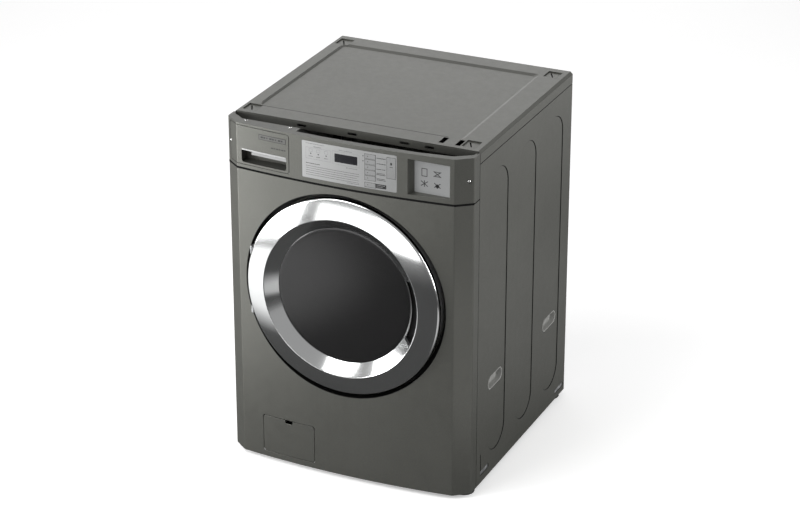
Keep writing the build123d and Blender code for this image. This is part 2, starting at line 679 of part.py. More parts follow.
SCREW_Z = CONTROL_BOTTOM + 59.5
SCREW_RUN = 29.0          # right screw from the crease, across the machine
SCREW_DEPTH = 1.3
slant = atan2(CHAMFER_DEPTH, CHAMFER_WIDTH)
screw_planes = [
    Plane(origin=(-HALF, FRONT + 47, SCREW_Z), x_dir=(0, 0, 1), z_dir=(-1, 0, 0)),
    Plane(
        origin=(CREASE_X + SCREW_RUN, FRONT + SCREW_RUN * CHAMFER_DEPTH / CHAMFER_WIDTH, SCREW_Z),
        x_dir=(0, 0, 1),
        z_dir=(sin(slant), -cos(slant), 0),
    ),
]

with BuildPart() as coin_liner:
    add(coin_pocket(COIN_WALL, COIN_PLATE_Y + 4))
    add(front_layer(0, None, CONTROL_BOTTOM, CONTROL_TOP), mode=Mode.INTERSECT)

with BuildPart() as control_panel:
    add(front_layer(0, PLASTIC, CONTROL_BOTTOM, CONTROL_TOP))
    add(shelf.part)
    add(front_layer(PLASTIC, 16, CONTROL_BOTTOM, CONTROL_BOTTOM + PLASTIC))
    add(front_window(DRAWER_LEFT - DRAWER_GAP, DRAWER_RIGHT + DRAWER_GAP, DRAWER_BOTTOM - DRAWER_GAP,
                     DRAWER_TOP + DRAWER_GAP, 5 + DRAWER_GAP), mode=Mode.SUBTRACT)
    add(front_patch(OVERLAY_LEFT - 0.4, OVERLAY_RIGHT + 0.4, OVERLAY_BOTTOM - 0.4, OVERLAY_TOP + 0.4, 3.4,
                    -1, OVERLAY_FILM), mode=Mode.SUBTRACT)
    for key in keys.values():
        add(key_window(key, 2 * KEY_GAP), mode=Mode.SUBTRACT)
    add(front_window(DISPLAY_LEFT, DISPLAY_RIGHT, DISPLAY_BOTTOM, DISPLAY_TOP, 1), mode=Mode.SUBTRACT)
    add(front_window(COIN_LEFT - 4, COIN_RIGHT, COIN_BOTTOM - 1, COIN_TOP + 1, 2), mode=Mode.SUBTRACT)
    add(coin_liner.part)
    add(coin_pocket(0, COIN_PLATE_Y + 8), mode=Mode.SUBTRACT)
    for plane in screw_planes:
        with BuildSketch(plane):
            Circle(6.5)
        extrude(amount=-SCREW_DEPTH, mode=Mode.SUBTRACT)
write(control_panel, "control_panel")

with BuildPart() as coin_plate:
    block((COIN_LEFT, COIN_PLATE_Y, COIN_BOTTOM), (COIN_RIGHT, COIN_PLATE_Y + 2, COIN_TOP))
write(coin_plate, "coin_plate")

with BuildPart() as control_overlay:
    add(front_patch(OVERLAY_LEFT, OVERLAY_RIGHT, OVERLAY_BOTTOM, OVERLAY_TOP, 3, -0.1, OVERLAY_FILM))
    for key in keys.values():
        add(key_window(key, KEY_GAP), mode=Mode.SUBTRACT)
    add(front_window(DISPLAY_LEFT, DISPLAY_RIGHT, DISPLAY_BOTTOM, DISPLAY_TOP, 1), mode=Mode.SUBTRACT)
write(control_overlay, "control_overlay")

with BuildPart() as display_window:
    add(front_patch(DISPLAY_LEFT, DISPLAY_RIGHT, DISPLAY_BOTTOM, DISPLAY_TOP, 1, 0.2, PLASTIC))
write(display_window, "display_window")

for name, key in keys.items():
    with BuildPart() as key_cap:
        left, right, middle, height = key
        add(front_patch(left, right, middle - height / 2, middle + height / 2, 3, -KEY_PROUD, KEY_DEPTH))
    write(key_cap, name)

with BuildPart() as control_board:
    block((OVERLAY_LEFT, FRONT - 2, OVERLAY_BOTTOM + 3), (OVERLAY_RIGHT - 2, FRONT + 22, OVERLAY_TOP - 5))
    fillet(control_board.edges().filter_by(Axis.Y), 4)
write(control_board, "control_board")

# --- Detergent drawer ---
with BuildPart() as grip_box:
    block(
        (GRIP_LEFT - 2, FRONT - BULGE, GRIP_BOTTOM - 2),
        (GRIP_RIGHT + 2, TRAY_FRONT, GRIP_TOP + GRIP_UNDERCUT + 2),
    )
    add(front_layer(1, None, CONTROL_BOTTOM, CONTROL_TOP), mode=Mode.INTERSECT)

with BuildPart() as grip_space:
    block((GRIP_LEFT, FRONT - BULGE, GRIP_BOTTOM), (GRIP_RIGHT, TRAY_FRONT - 2, GRIP_TOP + GRIP_UNDERCUT))
    add(front_layer(DRAWER_SKIN, None, CONTROL_BOTTOM, CONTROL_TOP), mode=Mode.INTERSECT)

with BuildPart() as grip_mouth:
    add(front_window(GRIP_LEFT, GRIP_RIGHT, GRIP_BOTTOM, GRIP_TOP, 7))
    block((-HALF, TRAY_FRONT - 2, 0), (0, FRONT + 100, HEIGHT), Mode.SUBTRACT)

with BuildPart() as drawer_front:
    add(front_patch(DRAWER_LEFT, DRAWER_RIGHT, DRAWER_BOTTOM, DRAWER_TOP, 5, 0, DRAWER_SKIN))
    add(grip_box.part)
    add(grip_space.part, mode=Mode.SUBTRACT)
    add(grip_mouth.part, mode=Mode.SUBTRACT)
write(drawer_front, "drawer_front")

tray_left = DRAWER_LEFT + TRAY_INSET
tray_right = DRAWER_RIGHT - 14
tray_bottom = DRAWER_BOTTOM + 4
tray_top = DRAWER_TOP - 18
tray_back = TRAY_FRONT + TRAY_LENGTH
tray_split_x = tray_left + 78
tray_split_y = TRAY_FRONT + 150
with BuildPart() as drawer_tray:
    block((tray_left, TRAY_FRONT, tray_bottom), (tray_right, tray_back, tray_top))
    fillet(drawer_tray.edges().filter_by(Axis.Z), 6)
    bays = [
        ((tray_left + TRAY_WALL, TRAY_FRONT + TRAY_WALL), (tray_split_x, tray_split_y)),
        ((tray_left + TRAY_WALL, tray_split_y + TRAY_WALL), (tray_split_x, tray_back - TRAY_WALL)),
        ((tray_split_x + TRAY_WALL, TRAY_FRONT + TRAY_WALL), (tray_right - TRAY_WALL, tray_back - TRAY_WALL)),
    ]
    for (x0, y0), (x1, y1) in bays:
        with BuildSketch(Plane.XY.offset(tray_top)):
            with Locations(((x0 + x1) / 2, (y0 + y1) / 2)):
                RectangleRounded(x1 - x0, y1 - y0, 4)
        extrude(amount=-(tray_top - tray_bottom - TRAY_WALL), mode=Mode.SUBTRACT)
write(drawer_tray, "drawer_tray")

HOUSING_CLEAR = 2.5
housing_low = (tray_left - HOUSING_CLEAR, tray_bottom - HOUSING_CLEAR)
housing_high = (tray_right + HOUSING_CLEAR, tray_top + HOUSING_CLEAR)
with BuildPart() as dispenser_housing:
    block(
        (housing_low[0] - PLASTIC, TRAY_FRONT + 4, housing_low[1] - PLASTIC),
        (housing_high[0] + PLASTIC, tray_back + 35, housing_high[1] + PLASTIC),
    )
    fillet(dispenser_housing.edges().filter_by(Axis.Y), 5)
    block(
        (housing_low[0], TRAY_FRONT, housing_low[1]),
        (housing_high[0], tray_back + 35 - PLASTIC, housing_high[1]),
        mode=Mode.SUBTRACT,
    )
    for x in (tray_left + 40, tray_right - 40):
        barrel(x, tray_top - 14, tray_back + 35 - PLASTIC, tray_back + 55, 9)
        barrel(x, tray_top - 14, tray_back + 34 - PLASTIC, tray_back + 56, 7, mode=Mode.SUBTRACT)
write(dispenser_housing, "dispenser_housing")

# === Door =========================================================================================
with BuildPart() as door_ring:
    ring_path = [
        (WINDOW_RADIUS, WINDOW_Y),
        (RING_EDGE_RADIUS, RING_FRONT),
        (RING_RADIUS, RING_OUTER_Y),
        (RING_RADIUS, RING_OUTER_Y + 12),
    ]
    revolve(profiles=turned_profile(strip(ring_path, RING_WALL)), axis=DOOR_AXIS)
    grip_cut = [
        (WINDOW_RADIUS + 4, RING_FRONT + 1),
        (RING_EDGE_RADIUS - 2.5, RING_FRONT + 1),
        (RING_EDGE_RADIUS - 2.5, WINDOW_Y + 4),
        (WINDOW_RADIUS + 4, WINDOW_Y + 4),
    ]
    revolve(
        profiles=turned_profile(grip_cut, GRIP_TO),
        axis=DOOR_AXIS,
        revolution_arc=GRIP_TO - GRIP_FROM,
        mode=Mode.SUBTRACT,
    )
    block(
        (-RING_RADIUS - 5, RING_OUTER_Y + 2.4, DOOR_Z - 102),
        (HINGE_X + 22, RING_OUTER_Y + 20, DOOR_Z + 102),
        mode=Mode.SUBTRACT,
    )
write(door_ring, "door_ring")

SEAT_Y = WINDOW_Y + RING_WALL + 3.0
with BuildPart() as door_inner_frame:
    frame_path = [
        (WINDOW_RADIUS - 1, SEAT_Y),
        (SEAT_RADIUS, SEAT_Y),
        (SEAT_RADIUS, DOOR_BACK),
        (FRAME_RADIUS, DOOR_BACK),
        (FRAME_RADIUS, RING_OUTER_Y + 12),
    ]
    revolve(profiles=turned_profile(strip(frame_path, -FRAME_WALL)), axis=DOOR_AXIS)
    block(
        (-FRAME_RADIUS - 5, HINGE_Y - 10, DOOR_Z - 86),
        (HINGE_X + 22, DOOR_BACK - FRAME_WALL, DOOR_Z + 86),
        mode=Mode.SUBTRACT,
    )
    block((LATCH_X - 9, DOOR_BACK - 5, DOOR_Z - 9), (LATCH_X + 9, DOOR_BACK + 2, DOOR_Z + 9), Mode.SUBTRACT)
write(door_inner_frame, "door_inner_frame")

with BuildPart() as door_window:
    sag = WINDOW_CROWN
    inner_sag = WINDOW_CROWN - 0.4
    pane = 3.0
    with BuildSketch(radial_plane()) as window_outline:
        with BuildLine():
            rim = WINDOW_RADIUS - 0.2
            Polyline((0, WINDOW_Y + pane - sag), (0, WINDOW_Y - sag))
            crown_radius = (rim**2 + sag**2) / (2 * sag)
            half_way = sag - (crown_radius - sqrt(crown_radius**2 - (rim / 2) ** 2))
            ThreePointArc((0, WINDOW_Y - sag), (rim / 2, WINDOW_Y - half_way), (rim, WINDOW_Y))
            Polyline((rim, WINDOW_Y), (rim, WINDOW_Y + pane))
            ThreePointArc(
                (rim, WINDOW_Y + pane), (rim / 2, WINDOW_Y + pane - half_way), (0, WINDOW_Y + pane - sag)
            )
        make_face()
    revolve(profiles=window_outline.sketch, axis=DOOR_AXIS)
write(door_window, "door_window")

BOWL_BACK = SEAT_Y + BOWL_WALL + BOWL_DEPTH
with BuildPart() as door_glass:
    bowl_path = [
        (SEAT_RADIUS - 0.5, SEAT_Y + 3),
        (SEAT_RADIUS - 18, SEAT_Y + 3),
        (SEAT_RADIUS - 19, DOOR_BACK + 10),
        (SEAT_RADIUS - 34, BOWL_BACK - 26),
        (SEAT_RADIUS - 60, BOWL_BACK),
        (0, BOWL_BACK + 4),
    ]
    with BuildSketch(radial_plane()) as bowl_outline:
        with BuildLine():
            outer = FilletPolyline(*bowl_path[1:], radius=14)
        trace(lines=[Line(bowl_path[0], bowl_path[1]), outer], line_width=BOWL_WALL)
        with Locations((-50, BOWL_BACK)):
            Rectangle(100, 60, mode=Mode.SUBTRACT)
    revolve(profiles=bowl_outline.sketch, axis=DOOR_AXIS)
write(door_glass, "door_glass")

GRIP_WALL = 2.0
with BuildPart() as door_handle:
    grip_path = [
        (WINDOW_RADIUS + 3.0, WINDOW_Y + 1.6),
        (WINDOW_RADIUS + 3.0, WINDOW_Y + 9),
        (RING_EDGE_RADIUS + 22, WINDOW_Y + 9),
        (RING_EDGE_RADIUS + 22, RING_FRONT + 12),
    ]
    grip_closed = [
        *grip_path,
        (RING_EDGE_RADIUS, RING_FRONT + 5),
    ]
    revolve(
        profiles=turned_profile(strip(grip_path, GRIP_WALL), GRIP_TO - 0.5),
        axis=DOOR_AXIS,
        revolution_arc=GRIP_TO - GRIP_FROM - 1,
    )
    for angle in (GRIP_TO - 0.5, GRIP_FROM + 1.1):
        revolve(
            profiles=turned_profile(grip_closed, angle),
            axis=DOOR_AXIS,
            revolution_arc=0.6,
        )
write(door_handle, "door_handle")

with BuildPart() as door_hinge_arm:
    knuckle_reach = 83.0
    block(
        (HINGE_X + 2, HINGE_Y + 2, DOOR_Z - knuckle_reach),
        (HINGE_X + 21.5, HINGE_Y + 5, DOOR_Z + knuckle_reach),
    )
    block(
        (HINGE_X + 18.5, HINGE_Y + 2, DOOR_Z - knuckle_reach),
        (HINGE_X + 21.5, DOOR_BACK - FRAME_WALL, DOOR_Z + knuckle_reach),
    )
    for side in (-1, 1):
        middle = DOOR_Z + side * (knuckle_reach - 5)
        post(HINGE_X, HINGE_Y, middle - 5, middle + 5, HINGE_EYE_RADIUS)
        block((HINGE_X, HINGE_Y + 2, middle - 5), (HINGE_X + 3, HINGE_Y + HINGE_EYE_RADIUS, middle + 5))
        post(HINGE_X, HINGE_Y, middle - 5, middle + 5, HINGE_PIN_RADIUS, mode=Mode.SUBTRACT)
write(door_hinge_arm, "door_hinge_arm")

with BuildPart() as door_hinge_bracket:
    lug_from, lug_to = knuckle_reach + 0.5, knuckle_reach + 11
    block((HINGE_X - 3.5, FLOOR_Y - 2.5, DOOR_Z - 98), (HINGE_X + 18, FLOOR_Y, DOOR_Z + 98))
    for side in (-1, 1):
        low, high = sorted((DOOR_Z + side * lug_from, DOOR_Z + side * lug_to))
        block((HINGE_X - 3.5, HINGE_Y, low), (HINGE_X + 3.5, FLOOR_Y - 2.5, high))
        post(HINGE_X, HINGE_Y, low, high, HINGE_EYE_RADIUS)
        post(HINGE_X, HINGE_Y, low, high, HINGE_PIN_RADIUS, mode=Mode.SUBTRACT)
write(door_hinge_bracket, "door_hinge_bracket")

with BuildPart() as door_hinge_pins:
    for side in (-1, 1):
        low, high = sorted((DOOR_Z + side * (knuckle_reach - 10), DOOR_Z + side * (lug_to + 1)))
        post(HINGE_X, HINGE_Y, low, high, HINGE_PIN_RADIUS - RUNNING / 2)
write(door_hinge_pins, "door_hinge_pins")

# --- Latch: a sprung hook on the door and its lock behind the recess ---
LATCH_PIVOT_Y = DOOR_BACK - 9.0
with BuildPart() as door_latch_hook:
    block((LATCH_X - 4, LATCH_PIVOT_Y - 4, DOOR_Z - 8), (LATCH_X + 4, FLOOR_Y + 26, DOOR_Z + 8))
    block((LATCH_X - 9, FLOOR_Y + 17, DOOR_Z - 8), (LATCH_X - 4, FLOOR_Y + 26, DOOR_Z + 8))
    post(LATCH_X, LATCH_PIVOT_Y, DOOR_Z - 11, DOOR_Z + 11, 5)
write(door_latch_hook, "door_latch_hook")

with BuildPart() as door_lock:
    block((LATCH_X - 20, FLOOR_Y + SHEET, DOOR_Z - 60), (LATCH_X + 20, FLOOR_Y + 34, DOOR_Z + 60))
    fillet(door_lock.edges().filter_by(Axis.Y), 5)
    block((LATCH_X - 14, FLOOR_Y, DOOR_Z - 12), (LATCH_X + 12, FLOOR_Y + 30, DOOR_Z + 12), Mode.SUBTRACT)
write(door_lock, "door_lock")

# === Washing unit =================================================================================
mouth_lip_y = TUB_FRONT_Y - 10.0
with BuildPart() as tub_front:
    tub_front_path = [
        (TUB_MOUTH_RADIUS - 4.5, mouth_lip_y),
        (TUB_MOUTH_RADIUS - 4.5, TUB_FRONT_Y + TUB_WALL),
        (TUB_RADIUS - TUB_WALL, TUB_FRONT_Y + TUB_WALL),
        (TUB_RADIUS - TUB_WALL, SPLIT_Y),
    ]
    revolve(profiles=turned_profile(strip(tub_front_path, -TUB_WALL)), axis=DOOR_AXIS)
    barrel(0, DOOR_Z, SPLIT_Y - 6, SPLIT_Y, TUB_RADIUS + 12)
    barrel(0, DOOR_Z, SPLIT_Y - 7, SPLIT_Y, TUB_RADIUS - TUB_WALL, mode=Mode.SUBTRACT)
    drain_top = DOOR_Z - sqrt((TUB_RADIUS - TUB_WALL) ** 2 - PUMP_X**2)
    post(PUMP_X, TUB_FRONT_Y + 37, DOOR_Z - TUB_RADIUS + 8, drain_top, 20)
    barrel(0, DOOR_Z, TUB_FRONT_Y + TUB_WALL, SPLIT_Y, TUB_RADIUS - TUB_WALL, mode=Mode.SUBTRACT)
    post(PUMP_X, TUB_FRONT_Y + 37, DOOR_Z - TUB_RADIUS, drain_top + 20, 16, mode=Mode.SUBTRACT)
write(tub_front, "tub_front")

hub_back = TUB_BACK_Y + 45.0
with BuildPart() as tub_rear:
    barrel(0, DOOR_Z, SPLIT_Y, TUB_BACK_Y, TUB_RADIUS)
    barrel(0, DOOR_Z, SPLIT_Y, SPLIT_Y + 6, TUB_RADIUS + 12)
    for side in (-1, 1):
        for reach in (-DAMPER_REACH, DAMPER_REACH):
            if reach > 0:
                lug_top = DOOR_Z - sqrt(TUB_RADIUS**2 - DAMPER_X**2) + 14
                lug_bottom = DOOR_Z - TUB_RADIUS + 36
                x = side * DAMPER_X
                block((x - 14, SPLIT_Y + reach - 14, lug_bottom), (x + 14, SPLIT_Y + reach + 14, lug_top))
        spring_root = DOOR_Z + sqrt(TUB_RADIUS**2 - SPRING_X**2) - 12
        x = side * SPRING_X
        block((x - 12, SPRING_Y - 12, spring_root), (x + 12, SPRING_Y + 12, spring_root + 36))
    barrel(0, DOOR_Z, SPLIT_Y - 1, TUB_BACK_Y - TUB_WALL, TUB_RADIUS - TUB_WALL, mode=Mode.SUBTRACT)
    barrel(0, DOOR_Z, TUB_BACK_Y - TUB_WALL, hub_back, 48)
    for angle in range(0, 360, 45):
        with Locations(
            Location((0, TUB_BACK_Y + 8, DOOR_Z), (0, angle, 0)) * Location((150, 0, 0))
        ):
            Box(210, 18, 4)
    barrel(0, DOOR_Z, TUB_BACK_Y - TUB_WALL - 1, hub_back + 1, SHAFT_RADIUS + 2, mode=Mode.SUBTRACT)
    barrel(0, DOOR_Z, TUB_BACK_Y - TUB_WALL + 4, TUB_BACK_Y + 18, 36, mode=Mode.SUBTRACT)
    barrel(0, DOOR_Z, TUB_BACK_Y + 26, hub_back + 1, 31, mode=Mode.SUBTRACT)
write(tub_rear, "tub_rear")

with BuildPart() as bearings:
    for front, back, outer_radius, bore_radius in (
        (TUB_BACK_Y - TUB_WALL + 4, TUB_BACK_Y + 18, 36, SHAFT_RADIUS),
        (TUB_BACK_Y + 26, hub_back, 31, SHAFT_REAR_RADIUS),
    ):
        barrel(0, DOOR_Z, front, back, outer_radius)
        barrel(0, DOOR_Z, front - 1, back + 1, bore_radius + RUNNING, mode=Mode.SUBTRACT)
write(bearings, "bearings")

WEIGHT_DEPTH = 38.0
with BuildPart() as counterweights:
    for middle in (90, 270):
        weight_outline = [
            (TUB_MOUTH_RADIUS + 15, TUB_FRONT_Y - WEIGHT_DEPTH),
            (TUB_RADIUS - 6, TUB_FRONT_Y - WEIGHT_DEPTH),
            (TUB_RADIUS - 6, TUB_FRONT_Y),
            (TUB_MOUTH_RADIUS + 15, TUB_FRONT_Y),
        ]
        revolve(
            profiles=turned_profile(weight_outline, middle + 58),
            axis=DOOR_AXIS,
            revolution_arc=116,
        )
write(counterweights, "counterweights")

with BuildPart() as stator:
    stator_front, stator_back = TUB_BACK_Y + 19, hub_back - 2
    barrel(0, DOOR_Z, stator_front, stator_back, STATOR_RADIUS - 22)
    for i in range(36):
        with Locations(
            Location((0, (stator_front + stator_back) / 2, DOOR_Z), (0, i * 10, 0))
            * Location((STATOR_RADIUS - 14, 0, 0))
        ):
            Box(28, stator_back - stator_front, 13)
    barrel(0, DOOR_Z, stator_front - 1, stator_back + 1, 50, mode=Mode.SUBTRACT)
write(stator, "stator")

with BuildPart() as motor_rotor:
    rotor_path = [
        (ROTOR_RADIUS, stator_front + 1),
        (ROTOR_RADIUS, stator_back + 8),
        (SHAFT_REAR_RADIUS, stator_back + 8),
    ]
    revolve(profiles=turned_profile(strip(rotor_path, 3)), axis=DOOR_AXIS)
    for i in range(12):
        with Locations(
            Location((0, stator_back + 6, DOOR_Z), (0, i * 30, 0)) * Location((90, 0, 0))
        ):
            Box(50, 8, 12, mode=Mode.SUBTRACT)
write(motor_rotor, "motor_rotor")

with BuildPart() as drum_shaft:
    step_y = TUB_BACK_Y + 22
    barrel(0, DOOR_Z, DRUM_BACK_Y + 2, step_y, SHAFT_RADIUS)
    barrel(0, DOOR_Z, step_y, stator_back + 18, SHAFT_REAR_RADIUS)
write(drum_shaft, "drum_shaft")

with BuildPart() as drum_spider:
    spider_front, spider_back = DRUM_BACK_Y + 1, TUB_BACK_Y - TUB_WALL - 4
    barrel(0, DOOR_Z, spider_front, spider_back, SPIDER_HUB)
    arm_root, arm_middle = SPIDER_HUB - 22, (spider_front + spider_back) / 2 - 2
    for angle in (90, 210, 330):
        turned = Location((0, arm_middle, DOOR_Z), (0, angle, 0))
        with Locations(turned * Location(((arm_root + SPIDER_TIP) / 2, 0, 0))):
            Box(SPIDER_TIP - arm_root, spider_back - spider_front - 4, SPIDER_HUB)
    barrel(0, DOOR_Z, DRUM_BACK_Y, spider_back + 1, SHAFT_RADIUS, mode=Mode.SUBTRACT)
write(drum_spider, "drum_spider")

with BuildPart() as drum_shell:
    shell_path = [
        (DRUM_MOUTH_RADIUS, DRUM_FRONT_Y - 4),
        (DRUM_MOUTH_RADIUS, DRUM_FRONT_Y),
        (DRUM_RADIUS - 14, DRUM_FRONT_Y),
        (DRUM_RADIUS, DRUM_FRONT_Y + 14),
        (DRUM_RADIUS, DRUM_BACK_Y),
    ]
    revolve(profiles=turned_profile(strip(shell_path, DRUM_WALL)), axis=DOOR_AXIS)
write(drum_shell, "drum_shell")

with BuildPart() as drum_back:
    back_path = [
        (DRUM_RADIUS - DRUM_WALL, DRUM_BACK_Y - 16),
        (DRUM_RADIUS - DRUM_WALL, DRUM_BACK_Y + 1),
        (190, DRUM_BACK_Y + 1),
        (176, DRUM_BACK_Y - 8),
        (60, DRUM_BACK_Y - 8),
        (50, DRUM_BACK_Y + 1),
        (0, DRUM_BACK_Y + 1),
    ]
    revolve(profiles=turned_profile(strip(back_path, DRUM_WALL)), axis=DOOR_AXIS)
write(drum_back, "drum_back")

lifter_middle = (DRUM_FRONT_Y + DRUM_BACK_Y) / 2
lifter_base = DRUM_RADIUS - DRUM_WALL
with BuildPart() as lifter:
    with BuildSketch(Plane.YZ.offset(lifter_base - LIFTER_HEIGHT)):
        with Locations((lifter_middle, 0)):
            RectangleRounded(LIFTER_LENGTH - 50, 26, 12)
    with BuildSketch(Plane.YZ.offset(lifter_base - 6)) as lifter_foot:
        with Locations((lifter_middle, 0)):
            RectangleRounded(LIFTER_LENGTH, 92, 30)
    loft()
    extrude(to_extrude=lifter_foot.sketch, amount=12)
    with Locations((0, lifter_middle, 0)):
        Cylinder(lifter_base, LIFTER_LENGTH + 20, rotation=(90, 0, 0), mode=Mode.INTERSECT)

with BuildPart() as drum_lifters:
    for angle in (90, 210, 330):
        add(Location((0, 0, DOOR_Z), (0, angle, 0)) * lifter.part)
write(drum_lifters, "drum_lifters")

# --- Suspension ---
DAMPER_TUBE_TOP = 190.0
rod_bottom = 100.0
lug_z = DOOR_Z - TUB_RADIUS + 36
with BuildPart() as damper_cylinders:
    for x, y in damper_places:
        post(x, y, BASE_TOP + RIB_HEIGHT, DAMPER_TUBE_TOP, 17)
        post(x, y, BASE_TOP + RIB_HEIGHT + 4, DAMPER_TUBE_TOP - 4, 14.5, mode=Mode.SUBTRACT)
        post(x, y, DAMPER_TUBE_TOP - 5, DAMPER_TUBE_TOP + 1, 6 + RUNNING, mode=Mode.SUBTRACT)
write(damper_cylinders, "damper_cylinders")

with BuildPart() as damper_rods:
    for x, y in damper_places:
        post(x, y, rod_bottom, lug_z, 6)
        post(x, y, rod_bottom, rod_bottom + 16, 14.5 - RUNNING)
        if y < SPLIT_Y:
            crown_z = DOOR_Z - sqrt(TUB_RADIUS**2 - DAMPER_X**2)
            block((x - 14, y - 14, lug_z), (x + 14, y + 14, crown_z + 14))
    barrel(0, DOOR_Z, TUB_FRONT_Y, SPLIT_Y, TUB_RADIUS, mode=Mode.SUBTRACT)
write(damper_rods, "damper_rods")

SPRING_BEAM_Z = SKIRT_BOTTOM
spring_bottom = DOOR_Z + sqrt(TUB_RADIUS**2 - SPRING_X**2) + 24
with BuildPart() as suspension_springs:
    for side in (-1, 1):
        post(side * SPRING_X, SPRING_Y, spring_bottom, SPRING_BEAM_Z, 14)
        post(side * SPRING_X, SPRING_Y, spring_bottom - 1, SPRING_BEAM_Z + 1, 10, mode=Mode.SUBTRACT)
write(suspension_springs, "suspension_springs")

brace_x = HALF - SHEET - UPSTAND
with BuildPart() as cabinet_braces:
    block((-brace_x, BASE_FRONT + 3, LOWER_TOP - 15), (brace_x, BASE_FRONT + 9, LOWER_TOP - SHEET))
    block((-brace_x, SPRING_Y - 15, SPRING_BEAM_Z), (brace_x, SPRING_Y + 15, SPRING_BEAM_Z + 20))
    block(
        (-brace_x, SPRING_Y - 13, SPRING_BEAM_Z - 1),
        (brace_x, SPRING_Y + 13, SPRING_BEAM_Z + 18),
        Mode.SUBTRACT,
    )
    for side in (-1, 1):
        post(side * SPRING_X, SPRING_Y, SPRING_BEAM_Z, SPRING_BEAM_Z + 20, 15)
    block((-brace_x, REAR - 40, SPRING_BEAM_Z), (brace_x, REAR - 38, SPRING_BEAM_Z + 20))
    block((-brace_x, REAR - 40, SPRING_BEAM_Z + 18), (brace_x, REAR - 5, SPRING_BEAM_Z + 20))
write(cabinet_braces, "cabinet_braces")

# --- Gasket between the front and the tub ---
with BuildPart() as door_gasket:
    gasket_front = FLOOR_Y + SHEET
    gasket_path = [
        (MOUTH_RADIUS - 4.3, gasket_front - 4.5),
        (MOUTH_RADIUS - 4.3, gasket_front + 13),
        (MOUTH_RADIUS - 1, gasket_front + 19),
        (MOUTH_RADIUS - 1, mouth_lip_y - 8),
        (TUB_MOUTH_RADIUS + 0.8, mouth_lip_y - 3),
        (TUB_MOUTH_RADIUS + 0.8, mouth_lip_y + 7),
    ]
    revolve(profiles=turned_profile(strip(gasket_path, -3)), axis=DOOR_AXIS)
write(door_gasket, "door_gasket")

# === Drain, water and power ========================================================================
pump_front = FRONT + 24.0
pump_back = pump_front + 110.0
spigot_y = TUB_FRONT_Y + 37
with BuildPart() as drain_pump:
    barrel(PUMP_X, PUMP_Z, pump_front, pump_back, PUMP_RADIUS)
    barrel(PUMP_X, PUMP_Z, pump_back, pump_back + 55, PUMP_RADIUS - 6)
    post(PUMP_X, spigot_y, PUMP_Z, PUMP_Z + PUMP_RADIUS + 23, 20)
    post(PUMP_X, spigot_y, PUMP_Z, PUMP_Z + PUMP_RADIUS + 24, 16, mode=Mode.SUBTRACT)
    block((PUMP_X - 34, pump_front + 20, BASE_TOP), (PUMP_X + 34, pump_back, PUMP_Z - 20))
    barrel(PUMP_X, PUMP_Z, pump_front - 1, pump_back - 8, CAP_RADIUS + 0.5, mode=Mode.SUBTRACT)
write(drain_pump, "drain_pump")

with BuildPart() as filter_cap:
    barrel(PUMP_X, PUMP_Z, pump_front - 13, pump_front, CAP_RADIUS + 3)
    barrel(PUMP_X, PUMP_Z, pump_front, pump_front + 30, CAP_RADIUS + 0.5 - RUNNING)
    for low in (PUMP_Z + 4, PUMP_Z - 30):
        block((PUMP_X - CAP_RADIUS + 5, pump_front - 14, low), (PUMP_X + CAP_RADIUS - 5, pump_front - 6, low + 26),
              Mode.SUBTRACT)
write(filter_cap, "filter_cap")

with BuildPart() as sump_hose:
    post(PUMP_X, spigot_y, PUMP_Z + PUMP_RADIUS + 3, DOOR_Z - TUB_RADIUS + 30, 23)
    post(PUMP_X, spigot_y, PUMP_Z + PUMP_RADIUS + 2, DOOR_Z - TUB_RADIUS + 31, 20.3, mode=Mode.SUBTRACT)
write(sump_hose, "sump_hose")

outlet_end = REAR + 24.0
with BuildPart() as drain_hose:
    hose_start = (PUMP_X - PUMP_RADIUS + 2, pump_back - 20, PUMP_Z)
    with BuildLine():
        hose_line = FilletPolyline(
            hose_start,
            (OUTLET_X, pump_back - 20, PUMP_Z),
            (OUTLET_X, pump_back + 90, OUTLET_Z),
            (OUTLET_X, outlet_end - OUTLET_LENGTH, OUTLET_Z),
            radius=34,
        )
    with BuildSketch(Plane(origin=hose_start, z_dir=hose_line % 0)):
        Circle(OUTLET_RADIUS - 1)
    sweep(path=hose_line)
    barrel(OUTLET_X, OUTLET_Z, outlet_end - OUTLET_LENGTH, outlet_end, OUTLET_RADIUS)
    barrel(PUMP_X, PUMP_Z, pump_front, pump_back, PUMP_RADIUS, mode=Mode.SUBTRACT)
write(drain_hose, "drain_hose")

inlet_end = REAR + REAR_PROUD
with BuildPart() as water_valves:
    for x in INLET_XS:
        block((x - 22, rear_outer - 70, INLET_Z - 20), (x + 22, rear_outer - SHEET, INLET_Z + 12))
        barrel(x, INLET_Z, rear_outer - SHEET, inlet_end - THREAD, INLET_RADIUS - 1.2)
        barrel(x, INLET_Z, inlet_end - THREAD, inlet_end, INLET_RADIUS)
        barrel(x, INLET_Z, inlet_end - THREAD, inlet_end + 1, INLET_RADIUS - 4, mode=Mode.SUBTRACT)
write(water_valves, "water_valves")

with BuildPart() as power_inlet:
    barrel(POWER_X, INLET_Z, rear_outer - 14, rear_outer + 12, 10)
    barrel(POWER_X, INLET_Z, rear_outer, rear_outer + 4, 16)
    barrel(POWER_X, INLET_Z, rear_outer - 15, rear_outer + 13, 5, mode=Mode.SUBTRACT)
write(power_inlet, "power_inlet")

